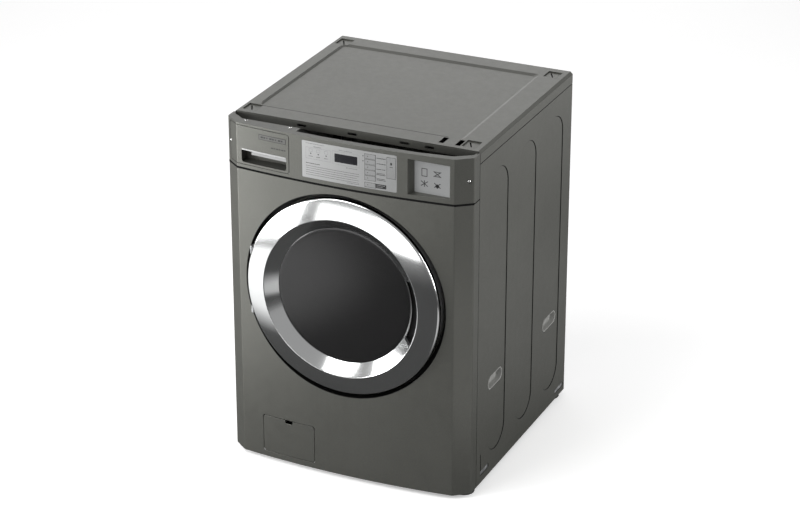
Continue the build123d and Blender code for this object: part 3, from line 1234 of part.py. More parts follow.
# --- Visible screws ---
with BuildPart() as cabinet_screws:
    for plane in screw_planes:
        with BuildSketch(plane.offset(-SCREW_DEPTH)):
            Circle(4.5)
        extrude(amount=SCREW_DEPTH - 0.05, taper=20)
    for x, y in ((-285, shelf_back - 6), (-160, shelf_back - 6)):
        post(x, y, CONTROL_TOP, CONTROL_TOP + 2, 4)
    for x in (-HALF + 12, HALF - 12):
        for z in (60, 330, 620, 880):
            barrel(x, z, rear_outer, rear_outer + 2.5, 4)
    for i in range(8):
        angle = radians(22.5 + 45 * i)
        radius = SERVICE_RADIUS + 9
        barrel(radius * cos(angle), DOOR_Z + radius * sin(angle), rear_outer + SHEET, rear_outer + SHEET + 2.2, 3.5)
write(cabinet_screws, "cabinet_screws")
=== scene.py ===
import json
from math import cos, radians, sin, sqrt, tau

import bmesh
import bpy
from mathutils import Matrix, Vector


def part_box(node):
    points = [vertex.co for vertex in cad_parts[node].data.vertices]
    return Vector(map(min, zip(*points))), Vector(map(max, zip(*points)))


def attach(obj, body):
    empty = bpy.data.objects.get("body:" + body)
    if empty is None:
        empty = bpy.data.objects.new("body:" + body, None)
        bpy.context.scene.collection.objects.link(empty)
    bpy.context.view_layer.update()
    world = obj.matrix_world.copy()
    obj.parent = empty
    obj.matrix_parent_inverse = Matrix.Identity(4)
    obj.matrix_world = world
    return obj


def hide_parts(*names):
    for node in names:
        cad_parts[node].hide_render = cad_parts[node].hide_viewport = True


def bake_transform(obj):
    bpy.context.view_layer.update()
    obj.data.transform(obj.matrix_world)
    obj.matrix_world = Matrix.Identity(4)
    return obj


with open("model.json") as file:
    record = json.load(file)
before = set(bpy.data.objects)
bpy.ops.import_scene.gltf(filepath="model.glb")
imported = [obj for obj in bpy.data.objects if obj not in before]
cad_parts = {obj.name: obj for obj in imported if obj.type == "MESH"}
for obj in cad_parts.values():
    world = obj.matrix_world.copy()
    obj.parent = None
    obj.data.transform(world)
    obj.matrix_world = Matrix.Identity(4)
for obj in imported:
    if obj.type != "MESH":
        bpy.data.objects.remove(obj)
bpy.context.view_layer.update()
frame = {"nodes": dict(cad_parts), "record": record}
nodes = frame["nodes"]
MM = 0.001

# ---------------------------------------------------------------- places taken from the frame
panel_low, panel_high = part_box("control_panel")
front_low, front_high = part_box("front_panel")
ring_low, ring_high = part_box("door_ring")
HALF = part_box("top_plate")[1].x
CHAMFER_WIDTH = 0.040
CHAMFER_DEPTH = 0.031
BULGE = 0.0185
CREASE_X = HALF - CHAMFER_WIDTH
FRONT = panel_low.y + BULGE
ARC = (CREASE_X**2 + BULGE**2) / (2 * BULGE)
DOOR_Z = (ring_low.z + ring_high.z) / 2
RING_FRONT = ring_low.y
RING_HALF = (ring_high.z - ring_low.z) / 2
RECESS_SHADE = (RING_HALF - 0.003, RING_HALF + 0.0117)


def skin_y(x):
    """Depth of the casing's front skin at x."""
    if abs(x) <= CREASE_X:
        return FRONT - BULGE + ARC - sqrt(ARC**2 - x**2)
    return FRONT + (abs(x) - CREASE_X) * CHAMFER_DEPTH / CHAMFER_WIDTH


# ---------------------------------------------------------------- materials
class Shader:
    """A Principled material built node by node, in the object's own coordinates."""

    def __init__(self, name, **values):
        self.mat = bpy.data.materials.new(name)
        self.mat.use_nodes = True
        self.tree = self.mat.node_tree
        self.bsdf = self.tree.nodes["Principled BSDF"]
        self.place = self.tree.nodes.new("ShaderNodeTexCoord").outputs["Object"]
        self.normal = None
        for key, value in values.items():
            self.bsdf.inputs[key.replace("_", " ")].default_value = value

    def add(self, kind, links=(), **values):
        node = self.tree.nodes.new("ShaderNode" + kind)
        for key, value in values.items():
            if hasattr(node, key):
                setattr(node, key, value)
            else:
                node.inputs[key.replace("_", " ")].default_value = value
        for socket, source in links:
            self.tree.links.new(source, node.inputs[socket])
        return node

    def math(self, operation, a, b=None, c=None):
        node = self.tree.nodes.new("ShaderNodeMath")
        node.operation = operation
        for i, value in enumerate((a, b, c)):
            if value is None:
                continue
            if isinstance(value, (int, float)):
                node.inputs[i].default_value = value
            else:
                self.tree.links.new(value, node.inputs[i])
        return node.outputs[0]

    def stretched(self, scale):
        node = self.tree.nodes.new("ShaderNodeMapping")
        node.inputs["Scale"].default_value = scale
        self.tree.links.new(self.place, node.inputs["Vector"])
        return node.outputs["Vector"]

    def noise(self, scale, detail=4.0, stretch=None, roughness=0.55):
        place = self.stretched(stretch) if stretch else self.place
        return self.add(
            "TexNoise", [("Vector", place)], Scale=scale, Detail=detail, Roughness=roughness
        ).outputs["Fac"]

    def ramp(self, fac, low, high, a=0.3, b=0.7):
        node = self.tree.nodes.new("ShaderNodeValToRGB")
        node.color_ramp.elements[0].position = a
        node.color_ramp.elements[0].color = (*low, 1) if len(low) == 3 else low
        node.color_ramp.elements[1].position = b
        node.color_ramp.elements[1].color = (*high, 1) if len(high) == 3 else high
        self.tree.links.new(fac, node.inputs["Fac"])
        return node.outputs["Color"]

    def mix(self, fac, a, b, blend="MIX"):
        node = self.tree.nodes.new("ShaderNodeMix")
        node.data_type = "RGBA"
        node.blend_type = blend
        for socket, value in ((0, fac), (6, a), (7, b)):
            if isinstance(value, (int, float)):
                node.inputs[socket].default_value = value
            elif isinstance(value, tuple):
                node.inputs[socket].default_value = (*value, 1)
            else:
                self.tree.links.new(value, node.inputs[socket])
        return node.outputs[2]

    def span(self, fac, low, high, a=0.3, b=0.7):
        node = self.add("MapRange", [("Value", fac)], clamp=True)
        for socket, value in (("From Min", a), ("From Max", b), ("To Min", low), ("To Max", high)):
            node.inputs[socket].default_value = value
        return node.outputs["Result"]

    def bump(self, height, distance, strength=1.0):
        node = self.add("Bump", [("Height", height)], Strength=strength, Distance=distance)
        if self.normal is not None:
            self.tree.links.new(self.normal, node.inputs["Normal"])
        self.normal = node.outputs["Normal"]

    def round_edges(self, radius):
        self.normal = self.add("Bevel", samples=4, Radius=radius).outputs["Normal"]

    def colour(self, source):
        self.tree.links.new(source, self.bsdf.inputs["Base Color"])

    def rough(self, source):
        self.tree.links.new(source, self.bsdf.inputs["Roughness"])

    def done(self):
        if self.normal is not None:
            self.tree.links.new(self.normal, self.bsdf.inputs["Normal"])
        return self.mat


def shade(colour, factor):
    return tuple(min(1.0, c * factor) for c in colour)


def surface(name, colour, roughness, metallic=0.0, spread=0.06, wander=0.05, grain=900.0,
            grain_depth=0.00002, patch=9.0, edge=0.0006, stretch=None, **values):
    """Paint, plastic, rubber or metal: slow colour drift, fine grain in the gloss and the relief."""
    s = Shader(name, Metallic=metallic, **values)
    if edge:
        s.round_edges(edge)
    drift = s.noise(patch, 5.0)
    fine = s.noise(grain, 3.0, stretch)
    tone = s.ramp(drift, shade(colour, 1 - spread), shade(colour, 1 + spread))
    speck = s.ramp(fine, (1 - spread,) * 3, (1 + spread * 0.4,) * 3)
    s.colour(s.mix(1.0, tone, speck, "MULTIPLY"))
    s.rough(s.span(s.math("ADD", s.math("MULTIPLY", drift, 0.5), s.math("MULTIPLY", fine, 0.5)),
                   roughness - wander, roughness + wander))
    s.bump(fine, grain_depth)
    return s.done()


PAINT = (0.132, 0.133, 0.120)


def flake_paint(name, colour, roughness, edge=0.0012, line=0.0, shade_walls=False, door_gap_shade=None):
    """Metallic paint: bright flakes under a satin lacquer with a slight orange peel.

    line darkens the paint along pressed edges as painted shade lines, walls darkens step faces that don't face +X
    or -X as painted shade, and groove darkens a ring round the door's axis as painted shade in the gap at the door
    recess.
    """
    s = Shader(name, Metallic=0.72, Coat_Weight=0.25, Coat_Roughness=0.28)
    s.round_edges(edge)
    flakes = s.add("TexVoronoi", [("Vector", s.place)], Scale=2600.0)
    drift = s.noise(4.0, 3.0)
    base = s.ramp(drift, shade(colour, 0.95), shade(colour, 1.05))
    glint = s.ramp(flakes.outputs["Color"], (0.82,) * 3, (1.22,) * 3, 0.2, 0.95)
    paint = s.mix(1.0, base, glint, "MULTIPLY")
    # Painted shade: near-black paint and less gloss along pressed edges and on their step faces
    if line:
        near = s.add("Bevel", samples=6, Radius=line).outputs["Normal"]
        face = s.add("NewGeometry").outputs["True Normal"]
        level = s.add("VectorMath", [(0, near), (1, face)], operation="DOT_PRODUCT").outputs["Value"]
        flat = s.span(level, 0.0, 1.0, 0.86, 0.985)
        if shade_walls:
            across = s.math("ABSOLUTE", s.add("SeparateXYZ", [("Vector", face)]).outputs["X"])
            flat = s.math("MINIMUM", flat, s.span(across, 0.0, 1.0, 0.90, 0.98))
        paint = s.mix(flat, (0.004, 0.004, 0.004), paint)
        s.tree.links.new(s.span(flat, 1.0, 0.72, 0.0, 1.0), s.bsdf.inputs["Metallic"])
        s.tree.links.new(s.math("MULTIPLY", flat, 0.25), s.bsdf.inputs["Coat Weight"])
    # Painted shade: a near-black ring at the door recess wall, standing in for the shadowed gap round the door
    if door_gap_shade:
        xyz = s.add("SeparateXYZ", [("Vector", s.place)])
        x, z = xyz.outputs["X"], s.math("SUBTRACT", xyz.outputs["Z"], DOOR_Z)
        away = s.math("SQRT", s.math("ADD", s.math("MULTIPLY", x, x), s.math("MULTIPLY", z, z)))
        beyond, within = s.math("GREATER_THAN", away, door_gap_shade[0]), s.math("LESS_THAN", away, door_gap_shade[1])
        inside = s.math("MULTIPLY", beyond, within)
        paint = s.mix(inside, paint, (0.006, 0.006, 0.006))
    s.colour(paint)
    s.rough(s.span(s.noise(60.0, 4.0), roughness - 0.03, roughness + 0.03))
    s.bump(s.noise(420.0, 2.0), 0.00001)
    return s.done()


def perforated(name, colour, pitch, hole, radius):
    """Polished steel with staggered holes painted near-black as painted shade in place of open holes, with a bump
    at each hole's lip, wrapped round the drum's axis.
    """
    s = Shader(name, Metallic=1.0)
    xyz = s.add("SeparateXYZ", [("Vector", s.place)])
    x, y = xyz.outputs["X"], xyz.outputs["Y"]
    z = s.math("SUBTRACT", xyz.outputs["Z"], DOOR_Z)
    count = round(tau * radius / pitch)
    u = s.math("MULTIPLY", s.math("ARCTAN2", z, x), count / tau)
    row = s.math("DIVIDE", y, pitch * 0.866)
    odd = s.math("MULTIPLY", s.math("FLOORED_MODULO", s.math("FLOOR", row), 2.0), 0.5)
    du = s.math("MULTIPLY", s.math("SUBTRACT", s.math("FRACT", s.math("ADD", u, odd)), 0.5), pitch)
    dv = s.math("MULTIPLY", s.math("SUBTRACT", s.math("FRACT", row), 0.5), pitch * 0.866)
    away = s.math("SQRT", s.math("ADD", s.math("MULTIPLY", du, du), s.math("MULTIPLY", dv, dv)))
    solid = s.span(away, 0.0, 1.0, hole * 0.9, hole * 1.05)
    lip = s.span(away, 0.0, 1.0, hole, hole * 1.9)
    brushed = s.noise(700.0, 3.0, (0.03, 1, 1))
    steel = s.ramp(brushed, shade(colour, 0.9), shade(colour, 1.05))
    # Painted shade: holes painted near-black in place of open holes
    s.colour(s.mix(solid, (0.01, 0.01, 0.01), steel))
    s.rough(s.span(brushed, 0.16, 0.28))
    s.bump(lip, 0.0006)
    return s.done()


def galvanised(name, colour):
    s = Shader(name, Metallic=0.9)
    s.round_edges(0.0005)
    spangle = s.add("TexVoronoi", [("Vector", s.place)], Scale=90.0, Randomness=1.0)
    tone = s.ramp(spangle.outputs["Color"], shade(colour, 0.82), shade(colour, 1.12), 0.1, 0.9)
    s.colour(tone)
    s.rough(s.span(spangle.outputs["Color"], 0.34, 0.55, 0.1, 0.9))
    s.bump(s.noise(300.0), 0.00002)
    return s.done()


def tinted_glass(name, colour, roughness, transmission=1.0, ior=1.5):
    s = Shader(name, IOR=ior, Transmission_Weight=transmission)
    s.colour(s.ramp(s.noise(6.0, 2.0), shade(colour, 0.97), shade(colour, 1.03)))
    s.rough(s.span(s.noise(25.0, 3.0), max(0.0, roughness - 0.01), roughness + 0.01))
    return s.done()


def winding(name):
    s = Shader(name, Metallic=0.9)
    turns = s.add("TexWave", [("Vector", s.place)], Scale=260.0, Distortion=1.5, bands_direction="Y")
    s.colour(s.ramp(turns.outputs["Fac"], (0.25, 0.10, 0.035), (0.62, 0.30, 0.12)))
    s.rough(s.span(turns.outputs["Fac"], 0.25, 0.4))
    s.bump(turns.outputs["Fac"], 0.0004)
    return s.done()


MATS = {
    "casing": flake_paint("casing_paint", PAINT, 0.42),
    "side_paint_edge_shade": flake_paint("side_panel_paint_edge_shade", PAINT, 0.42, 0.0004, 0.0018, shade_walls=True),
    "top_paint_edge_shade": flake_paint("top_plate_paint_edge_shade", PAINT, 0.42, 0.0004, 0.0018),
    "front_paint": flake_paint("front_panel_paint_gap_shade", PAINT, 0.40, door_gap_shade=RECESS_SHADE),
    "panel_plastic": flake_paint("panel_paint", shade(PAINT, 0.86), 0.44),
    "chrome_ring": surface("polished_chrome", (0.80, 0.81, 0.81), 0.12, 1.0, 0.01, 0.02, 300.0,
                           0.000002, 5.0, 0.0),
    "smoked_window": tinted_glass("smoked_window", (0.012, 0.012, 0.0122), 0.20, 0.3, 1.55),
    "clear_glass": tinted_glass("bowl_glass", (0.86, 0.93, 0.92), 0.02),
    "black_plastic": surface("black_plastic", (0.018, 0.018, 0.018), 0.42, grain=1500.0, grain_depth=0.00004),
    "grey_plastic": surface("grey_plastic", (0.23, 0.23, 0.23), 0.45, grain=1300.0, grain_depth=0.00003),
    "white_plastic": surface("white_plastic", (0.72, 0.72, 0.69), 0.35, spread=0.03),
    "tub_plastic": surface("tub_plastic", (0.55, 0.55, 0.53), 0.5, grain=1100.0, grain_depth=0.00005),
    "overlay_film": surface("overlay_film", (0.37, 0.374, 0.373), 0.38, 0.72, 0.03, 0.04, 500.0, 0.000006,
                            6.0, 0.0003, (0.02, 1, 1)),
    "display": surface("display_black", (0.012, 0.012, 0.014), 0.12, spread=0.02, wander=0.03, edge=0.0002),
    "key_silver": surface("key_silver", (0.30, 0.304, 0.303), 0.35, 0.6, 0.03, 0.04, 900.0, 0.00001,
                          20.0, 0.0006),
    "coin_grey": surface("coin_plate_paint", (0.23, 0.234, 0.234), 0.42, 0.4, 0.03, 0.05, 700.0, 0.00001),
    "rubber_grey": surface("gasket_rubber", (0.20, 0.21, 0.215), 0.55, grain=1800.0, grain_depth=0.00004),
    "rubber_black": surface("black_rubber", (0.016, 0.016, 0.016), 0.62, grain=1600.0, grain_depth=0.00006),
    "stainless": perforated("perforated_steel", (0.66, 0.66, 0.65), 0.0125, 0.0021, 0.28),
    "galvanised": galvanised("galvanised_sheet", (0.55, 0.56, 0.57)),
    "bright_steel": surface("machined_steel", (0.58, 0.58, 0.58), 0.25, 1.0, 0.05, 0.06, 900.0, 0.00001,
                            30.0, 0.0003, (1, 1, 0.05)),
    "cast_weight": surface("cast_concrete", (0.30, 0.295, 0.28), 0.85, spread=0.2, grain=220.0,
                           grain_depth=0.0006, edge=0.002),
    "cast_aluminium": surface("cast_aluminium", (0.55, 0.56, 0.57), 0.5, 0.9, 0.08, 0.08, 400.0, 0.00015),
    "copper_winding": winding("copper_winding"),
    "screw_steel": surface("plated_screw", (0.72, 0.72, 0.71), 0.2, 1.0, 0.04, 0.05, 1500.0, 0.000005,
                           60.0, 0.0),
    "label_dark": surface("label_dark", (0.10, 0.10, 0.095), 0.35, 0.3, 0.04, 0.04, 900.0, 0.00001, 20.0, 0.0),
    "pocket_grey": surface("pocket_plastic", (0.20, 0.20, 0.19), 0.5, 0.0, 0.05, 0.05, 1300.0, 0.00003),
    "ink": surface("print_ink", (0.014, 0.014, 0.014), 0.4, spread=0.03, edge=0.0),
    "faint_ink": surface("print_ink_faint", (0.085, 0.085, 0.085), 0.4, spread=0.03, edge=0.0),
    "bright_edge": surface("bright_edge", (0.70, 0.70, 0.69), 0.18, 1.0, 0.02, 0.04, 900.0, 0.000004, 9.0, 0.0),
    # Near-black material for painted shade in gaps, seams and screw recesses
    "painted_shade": surface("painted_shade_black", (0.006, 0.006, 0.006), 0.8, spread=0.05, edge=0.0,
                            Specular_IOR_Level=0.05),
}

slot_of = {s["node"]: s["material_slot"] for s in frame["record"]["subparts"]}
own_paint = {"left_side_panel": "side_paint_edge_shade", "right_side_panel": "side_paint_edge_shade", "top_plate": "top_paint_edge_shade"}
for node_name, obj in nodes.items():
    obj.data.materials.clear()
    obj.data.materials.append(MATS[own_paint.get(node_name, slot_of[node_name])])


# ---------------------------------------------------------------- mesh tools
def finish_piece(mesh, name, slot, body, sharp=38.0, replace=(), material=None):
    """Turns a bmesh into a smooth piece that rides on a body."""
    bmesh.ops.recalc_face_normals(mesh, faces=mesh.faces)
    for edge in mesh.edges:
        if len(edge.link_faces) == 2 and edge.calc_face_angle(0) > radians(sharp):
            edge.smooth = False
    for face in mesh.faces:
        face.smooth = True
    data = bpy.data.meshes.new(name)
    mesh.to_mesh(data)
    mesh.free()
    obj = bpy.data.objects.new(name, data)
    bpy.context.scene.collection.objects.link(obj)
    data.materials.append(MATS[material or slot])
    if replace:
        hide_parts(*replace)
    if body:
        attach(obj, body)
    return obj


def ring_mesh(profile, steps=192, start=0.0, sweep=360.0, centre=(0.0, 0.0), axis="Y", closed=True, mesh=None,
              caps=True):
    """Lathe of (radius, along) points about an axis through the centre."""
    mesh = mesh or bmesh.new()
    full = abs(sweep) >= 360
    count = steps if full else steps + 1
    rings = []
    for i in range(count):
        angle = radians(start + sweep * i / steps)
        row = []
        for r, along in profile:
            a, b = r * cos(angle), r * sin(angle)
            if axis == "Y":
                row.append(mesh.verts.new((centre[0] + a, along, centre[1] + b)))
            else:
                row.append(mesh.verts.new((centre[0] + a, centre[1] + b, along)))
        rings.append(row)
    n = len(profile)
    for i in range(steps):
        a, b = rings[i], rings[(i + 1) % count]
        for j in range(n if closed else n - 1):
            k = (j + 1) % n
            mesh.faces.new((a[j], b[j], b[k], a[k]))
    if not full and caps and closed:
        mesh.faces.new(rings[0])
        mesh.faces.new(list(reversed(rings[-1])))
    bmesh.ops.remove_doubles(mesh, verts=mesh.verts, dist=1e-7)
    return mesh


def rounded(points, radius, steps=4, closed=True):
    """Polygon with every corner turned into a small arc."""
    out = []
    n = len(points)
    for i, p in enumerate(points):
        r = radius[i] if isinstance(radius, (list, tuple)) else radius
        if not closed and i in (0, n - 1) or r <= 0:
            out.append(tuple(p))
            continue
        here, before, after = Vector(p), Vector(points[i - 1]), Vector(points[(i + 1) % n])
        a, b = (before - here), (after - here)
        cut = min(r, a.length * 0.45, b.length * 0.45)
        start, end = here + a.normalized() * cut, here + b.normalized() * cut
        for k in range(steps + 1):
            t = k / steps
            out.append(tuple(start * (1 - t) ** 2 + here * 2 * t * (1 - t) + end * t**2))
    return out


def thick(points, depth):
    """Closed outline from an open line, offset to its left by the depth."""
    n = len(points)
    other = []
    for i in range(n):
        a = Vector(points[max(i - 1, 0)])
        b = Vector(points[i])
        c = Vector(points[min(i + 1, n - 1)])
        d1 = (b - a).normalized() if i else (c - b).normalized()
        d2 = (c - b).normalized() if i < n - 1 else d1
        m = (Vector((-d1.y, d1.x)) + Vector((-d2.y, d2.x)))
        m = m / max(0.4, m.dot(Vector((-d1.y, d1.x))))
        other.append(tuple(b + m * depth))
    return list(points) + other[::-1]


def joined(name, parts, slot, body, material=None, sharp=38.0, replace=()):
    """One piece from several bmeshes."""
    whole = bmesh.new()
    for part in parts:
        data = bpy.data.meshes.new("part")
        part.to_mesh(data)
        part.free()
        whole.from_mesh(data)
        bpy.data.meshes.remove(data)
    return finish_piece(whole, name, slot, body, sharp, replace, material)


def box_mesh(low, high, bevel=0.0, segments=2):
    mesh = bmesh.new()
    bmesh.ops.create_cube(mesh, size=1.0)
    size = [h - l for l, h in zip(low, high)]
    centre = [(h + l) / 2 for l, h in zip(low, high)]
    bmesh.ops.scale(mesh, verts=mesh.verts, vec=size)
    bmesh.ops.translate(mesh, verts=mesh.verts, vec=centre)
    if bevel:
        bmesh.ops.bevel(mesh, geom=mesh.edges[:], offset=bevel, segments=segments, affect="EDGES")
    return mesh


def skin_box(left, right, bottom, top, outer, inner, radius=0.0, columns=8):
    """Thin rounded rectangle that follows the bowed front, between two depths from the skin."""
    outline = []
    if radius > 0:
        for cx, cz, a0 in ((right - radius, top - radius, 0), (left + radius, top - radius, 90),
                           (left + radius, bottom + radius, 180), (right - radius, bottom + radius, 270)):
            for k in range(5):
                a = radians(a0 + 22.5 * k)
                outline.append((cx + radius * cos(a), cz + radius * sin(a)))
    else:
        outline = [(right, top), (left, top), (left, bottom), (right, bottom)]
    mesh = bmesh.new()
    flat = [mesh.verts.new((x, 0, z)) for x, z in outline]
    mesh.faces.new(flat)
    for i in range(1, columns):
        x = left + (right - left) * i / columns
        bmesh.ops.bisect_plane(mesh, geom=mesh.verts[:] + mesh.edges[:] + mesh.faces[:],
                               plane_co=(x, 0, 0), plane_no=(1, 0, 0))
    faces = mesh.faces[:]
    made = bmesh.ops.extrude_face_region(mesh, geom=faces)
    moved = {e for e in made["geom"] if isinstance(e, bmesh.types.BMVert)}
    for v in mesh.verts:
        v.co.y = skin_y(v.co.x) + (inner if v in moved else outer)
    return mesh



# ---------------------------------------------------------------- door
WINDOW_Y = RING_FRONT + 0.0268
RING_OUTER_Y = RING_FRONT + 0.0142
SEAT_Y = WINDOW_Y + 0.0045
FLOOR_Y = FRONT + 0.0285
DOOR_BACK = FLOOR_Y - 0.0045
RING_R, EDGE_R, WINDOW_R = 0.2715, 0.2183, 0.187
GRIP_FROM, GRIP_TO = -26, 24


def on_door(angle, r, y):
    a = radians(angle)
    return (r * cos(a), y, DOOR_Z + r * sin(a))


def cell_lathe(front, back, present, steps=360):
    """Double-walled lathe about the door's axis, with cells left out and their edges closed."""
    mesh = bmesh.new()
    f = [[mesh.verts.new(on_door(i * 360 / steps, *p)) for p in front] for i in range(steps)]
    b = [[mesh.verts.new(on_door(i * 360 / steps, *p)) for p in back] for i in range(steps)]
    n = len(front)
    for i in range(steps):
        j = (i + 1) % steps
        for k in range(n - 1):
            if not present(i, k):
                continue
            mesh.faces.new((f[i][k], f[j][k], f[j][k + 1], f[i][k + 1]))
            mesh.faces.new((b[i][k], b[i][k + 1], b[j][k + 1], b[j][k]))
            if k == 0 or not present(i, k - 1):
                mesh.faces.new((f[i][k], b[i][k], b[j][k], f[j][k]))
            if k == n - 2 or not present(i, k + 1):
                mesh.faces.new((f[i][k + 1], f[j][k + 1], b[j][k + 1], b[i][k + 1]))
            if not present(i - 1 if i else steps - 1, k):
                mesh.faces.new((f[i][k], f[i][k + 1], b[i][k + 1], b[i][k]))
            if not present(j, k):
                mesh.faces.new((f[j][k], b[j][k], b[j][k + 1], f[j][k + 1]))
    loose = [v for v in mesh.verts if not v.link_faces]
    bmesh.ops.delete(mesh, geom=loose, context="VERTS")
    return mesh


def make_ring():
    slope = (RING_FRONT - WINDOW_Y) / (EDGE_R - WINDOW_R)
    cut = [0.191, 0.2158]
    line = [(WINDOW_R, WINDOW_Y)] + [(r, WINDOW_Y + slope * (r - WINDOW_R)) for r in cut]
    line += [(EDGE_R, RING_FRONT + 0.0002), (RING_R, RING_OUTER_Y), (RING_R, RING_OUTER_Y + 0.012)]
    path = rounded(line, [0, 0, 0, 0.0045, 0.005, 0], 5, closed=False)
    both = thick(path, 0.0015)
    back = both[len(path):][::-1]
    first = min(range(len(path)), key=lambda k: abs(path[k][0] - cut[0]) + (path[k][1] > WINDOW_Y))
    last = min(range(len(path)), key=lambda k: abs(path[k][0] - cut[1]))
    skirt = max(k for k in range(len(path)) if path[k][1] <= RING_OUTER_Y + 0.0026)

    def present(i, k):
        angle = (i + 180) % 360 - 180
        if first <= k < last and GRIP_FROM <= angle < GRIP_TO:
            return False
        return not (k >= skirt and 158 <= i < 202)

    return cell_lathe(path, back, present)


finish_piece(make_ring(), "door_ring_shell", "chrome_ring", "door", 40, ("door_ring",))

pane = 0.003
dome = 0.006
crown = (WINDOW_R**2 + dome**2) / (2 * dome)
arc = [(r, WINDOW_Y - (dome - (crown - sqrt(crown**2 - r**2)))) for r in
       [WINDOW_R * t for t in (0.0, 0.1, 0.2, 0.3, 0.4, 0.5, 0.6, 0.7, 0.8, 0.88, 0.94, 0.985)]]
outline = arc + [(WINDOW_R - 0.0004, WINDOW_Y + 0.0006), (WINDOW_R - 0.0003, WINDOW_Y + pane)]
outline += [(r, y + pane) for r, y in reversed(arc)]
finish_piece(ring_mesh([(r, y) for r, y in outline], centre=(0, DOOR_Z)), "door_window_pane", "smoked_window",
             "door", 40, ("door_window",))

SEAT_R = 0.168
BOWL_BACK = SEAT_Y + 0.135
bowl = [(SEAT_R - 0.0008, SEAT_Y + 0.001), (SEAT_R - 0.020, SEAT_Y + 0.001), (SEAT_R - 0.0215, DOOR_BACK + 0.010),
        (SEAT_R - 0.036, BOWL_BACK - 0.026), (SEAT_R - 0.062, BOWL_BACK), (0.0, BOWL_BACK + 0.003)]
bowl = rounded(bowl, [0, 0.006, 0.012, 0.03, 0.02, 0], 6, closed=False)
finish_piece(ring_mesh(thick(bowl, -0.0045), centre=(0, DOOR_Z)), "door_bowl", "clear_glass", "door", 40,
             ("door_glass",))

grip_out = EDGE_R + 0.022
grip_line = [(WINDOW_R + 0.003, WINDOW_Y + 0.0016), (WINDOW_R + 0.003, WINDOW_Y + 0.009),
             (grip_out, WINDOW_Y + 0.009), (grip_out, RING_FRONT + 0.012)]
grip_line = rounded(grip_line, [0, 0.004, 0.006, 0], 5, closed=False)
grip = ring_mesh(thick(grip_line, 0.002), 50, GRIP_FROM + 0.5, GRIP_TO - GRIP_FROM - 1, (0, DOOR_Z))
ends = []
for angle in (GRIP_FROM + 0.5, GRIP_TO - 1.0):
    closed = grip_line + [(EDGE_R, RING_FRONT + 0.005)]
    ends.append(ring_mesh(closed, 1, angle, 0.5, (0, DOOR_Z)))
joined("door_grip_pocket", [grip] + ends, "black_plastic", "door", replace=("door_handle",))
lip = [(0.1908, WINDOW_Y - 0.0023), (0.1926, WINDOW_Y - 0.0040),
       (0.1932, WINDOW_Y - 0.0034), (0.1914, WINDOW_Y - 0.0008)]
edge_parts = [ring_mesh(lip, 48, GRIP_FROM + 0.6, 48.8, (0, DOOR_Z))]
joined("door_grip_rim", edge_parts, "chrome_ring", "door", "bright_edge")


# ---------------------------------------------------------------- screws
def screw(place, radius, height):
    """Domed screw head; its cross recess is a separate piece made by cross(). place maps (u, v, out) to a point.
    """
    mesh = bmesh.new()
    rows = [(0.0, height), (0.35, height * 0.97), (0.7, height * 0.75), (0.93, height * 0.35), (1.0, 0.0),
            (1.0, -0.0004)]
    steps = 20
    made = []
    for t, h in rows:
        if t == 0:
            made.append([mesh.verts.new(place(0, 0, h))] * steps)
            continue
        made.append([mesh.verts.new(place(radius * t * cos(tau * i / steps), radius * t * sin(tau * i / steps), h))
                     for i in range(steps)])
    for a, b in zip(made, made[1:]):
        for i in range(steps):
            j = (i + 1) % steps
            quad = [a[i], a[j], b[j], b[i]]
            mesh.faces.new(list(dict.fromkeys(quad)))
    mesh.faces.new(made[-1])
    return mesh


def cross(place, radius, height):
    mesh = bmesh.new()
    w = radius * 0.13
    r = radius * 0.55
    outline = [(w, w), (w, r), (-w, r), (-w, w), (-r, w), (-r, -w), (-w, -w), (-w, -r), (w, -r), (w, -w), (r, -w),
               (r, w)]
    front = [mesh.verts.new(place(u, v, height)) for u, v in outline]
    back = [mesh.verts.new(place(u, v, height - 0.0006)) for u, v in outline]
    mesh.faces.new(front)
    mesh.faces.new(list(reversed(back)))
    for i in range(len(outline)):
        j = (i + 1) % len(outline)
        mesh.faces.new((front[i], back[i], back[j], front[j]))
    return mesh


def framed(origin, u_dir, v_dir):
    o, u, v = Vector(origin), Vector(u_dir).normalized(), Vector(v_dir).normalized()
    w = u.cross(v)
    return lambda a, b, c: o + u * a + v * b + w * c


def screws(name, places, body, replace=()):
    heads = [screw(framed(o, u, v), r, h) for o, u, v, r, h in places]
    joined(name, heads, "screw_steel", body, replace=replace, sharp=50)
    marks = [cross(framed(o, u, v), r, h * 1.0 + 0.00005) for o, u, v, r, h in places]
    # Painted shade: near-black crosses where the recesses' shade falls
    joined(name + "_recess", marks, "black_plastic", body, "painted_shade")


rear_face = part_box("rear_panel")[1].y
cabinet = []
SCREW_Z = panel_low.z + 0.0595
SCREW_SUNK = 0.0013
run = 0.029               # along the chamfer from its crease
for side in (-1, 1):
    slant = Vector((side * CHAMFER_DEPTH, -CHAMFER_WIDTH, 0)).normalized()
    skin = Vector((side * (CREASE_X + run), FRONT + run * CHAMFER_DEPTH / CHAMFER_WIDTH, SCREW_Z))
    spot = skin - slant * SCREW_SUNK
    cabinet.append((spot, (0, 0, 1), Vector((0, 0, 1)).cross(slant) * -1, 0.0045, 0.0024))
shelf_z = panel_high.z
for x in (-0.285, -0.160):
    cabinet.append(((x, FRONT + 0.022, shelf_z), (1, 0, 0), (0, 1, 0), 0.0045, 0.002))
for x in (-HALF + 0.012, HALF - 0.012):
    for z in (0.06, 0.33, 0.62, 0.88):
        cabinet.append(((x, rear_face, z), (1, 0, 0), (0, 0, -1), 0.004, 0.0024))
cover_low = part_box("rear_service_cover")[0]
COVER_SCREWS = 0.181
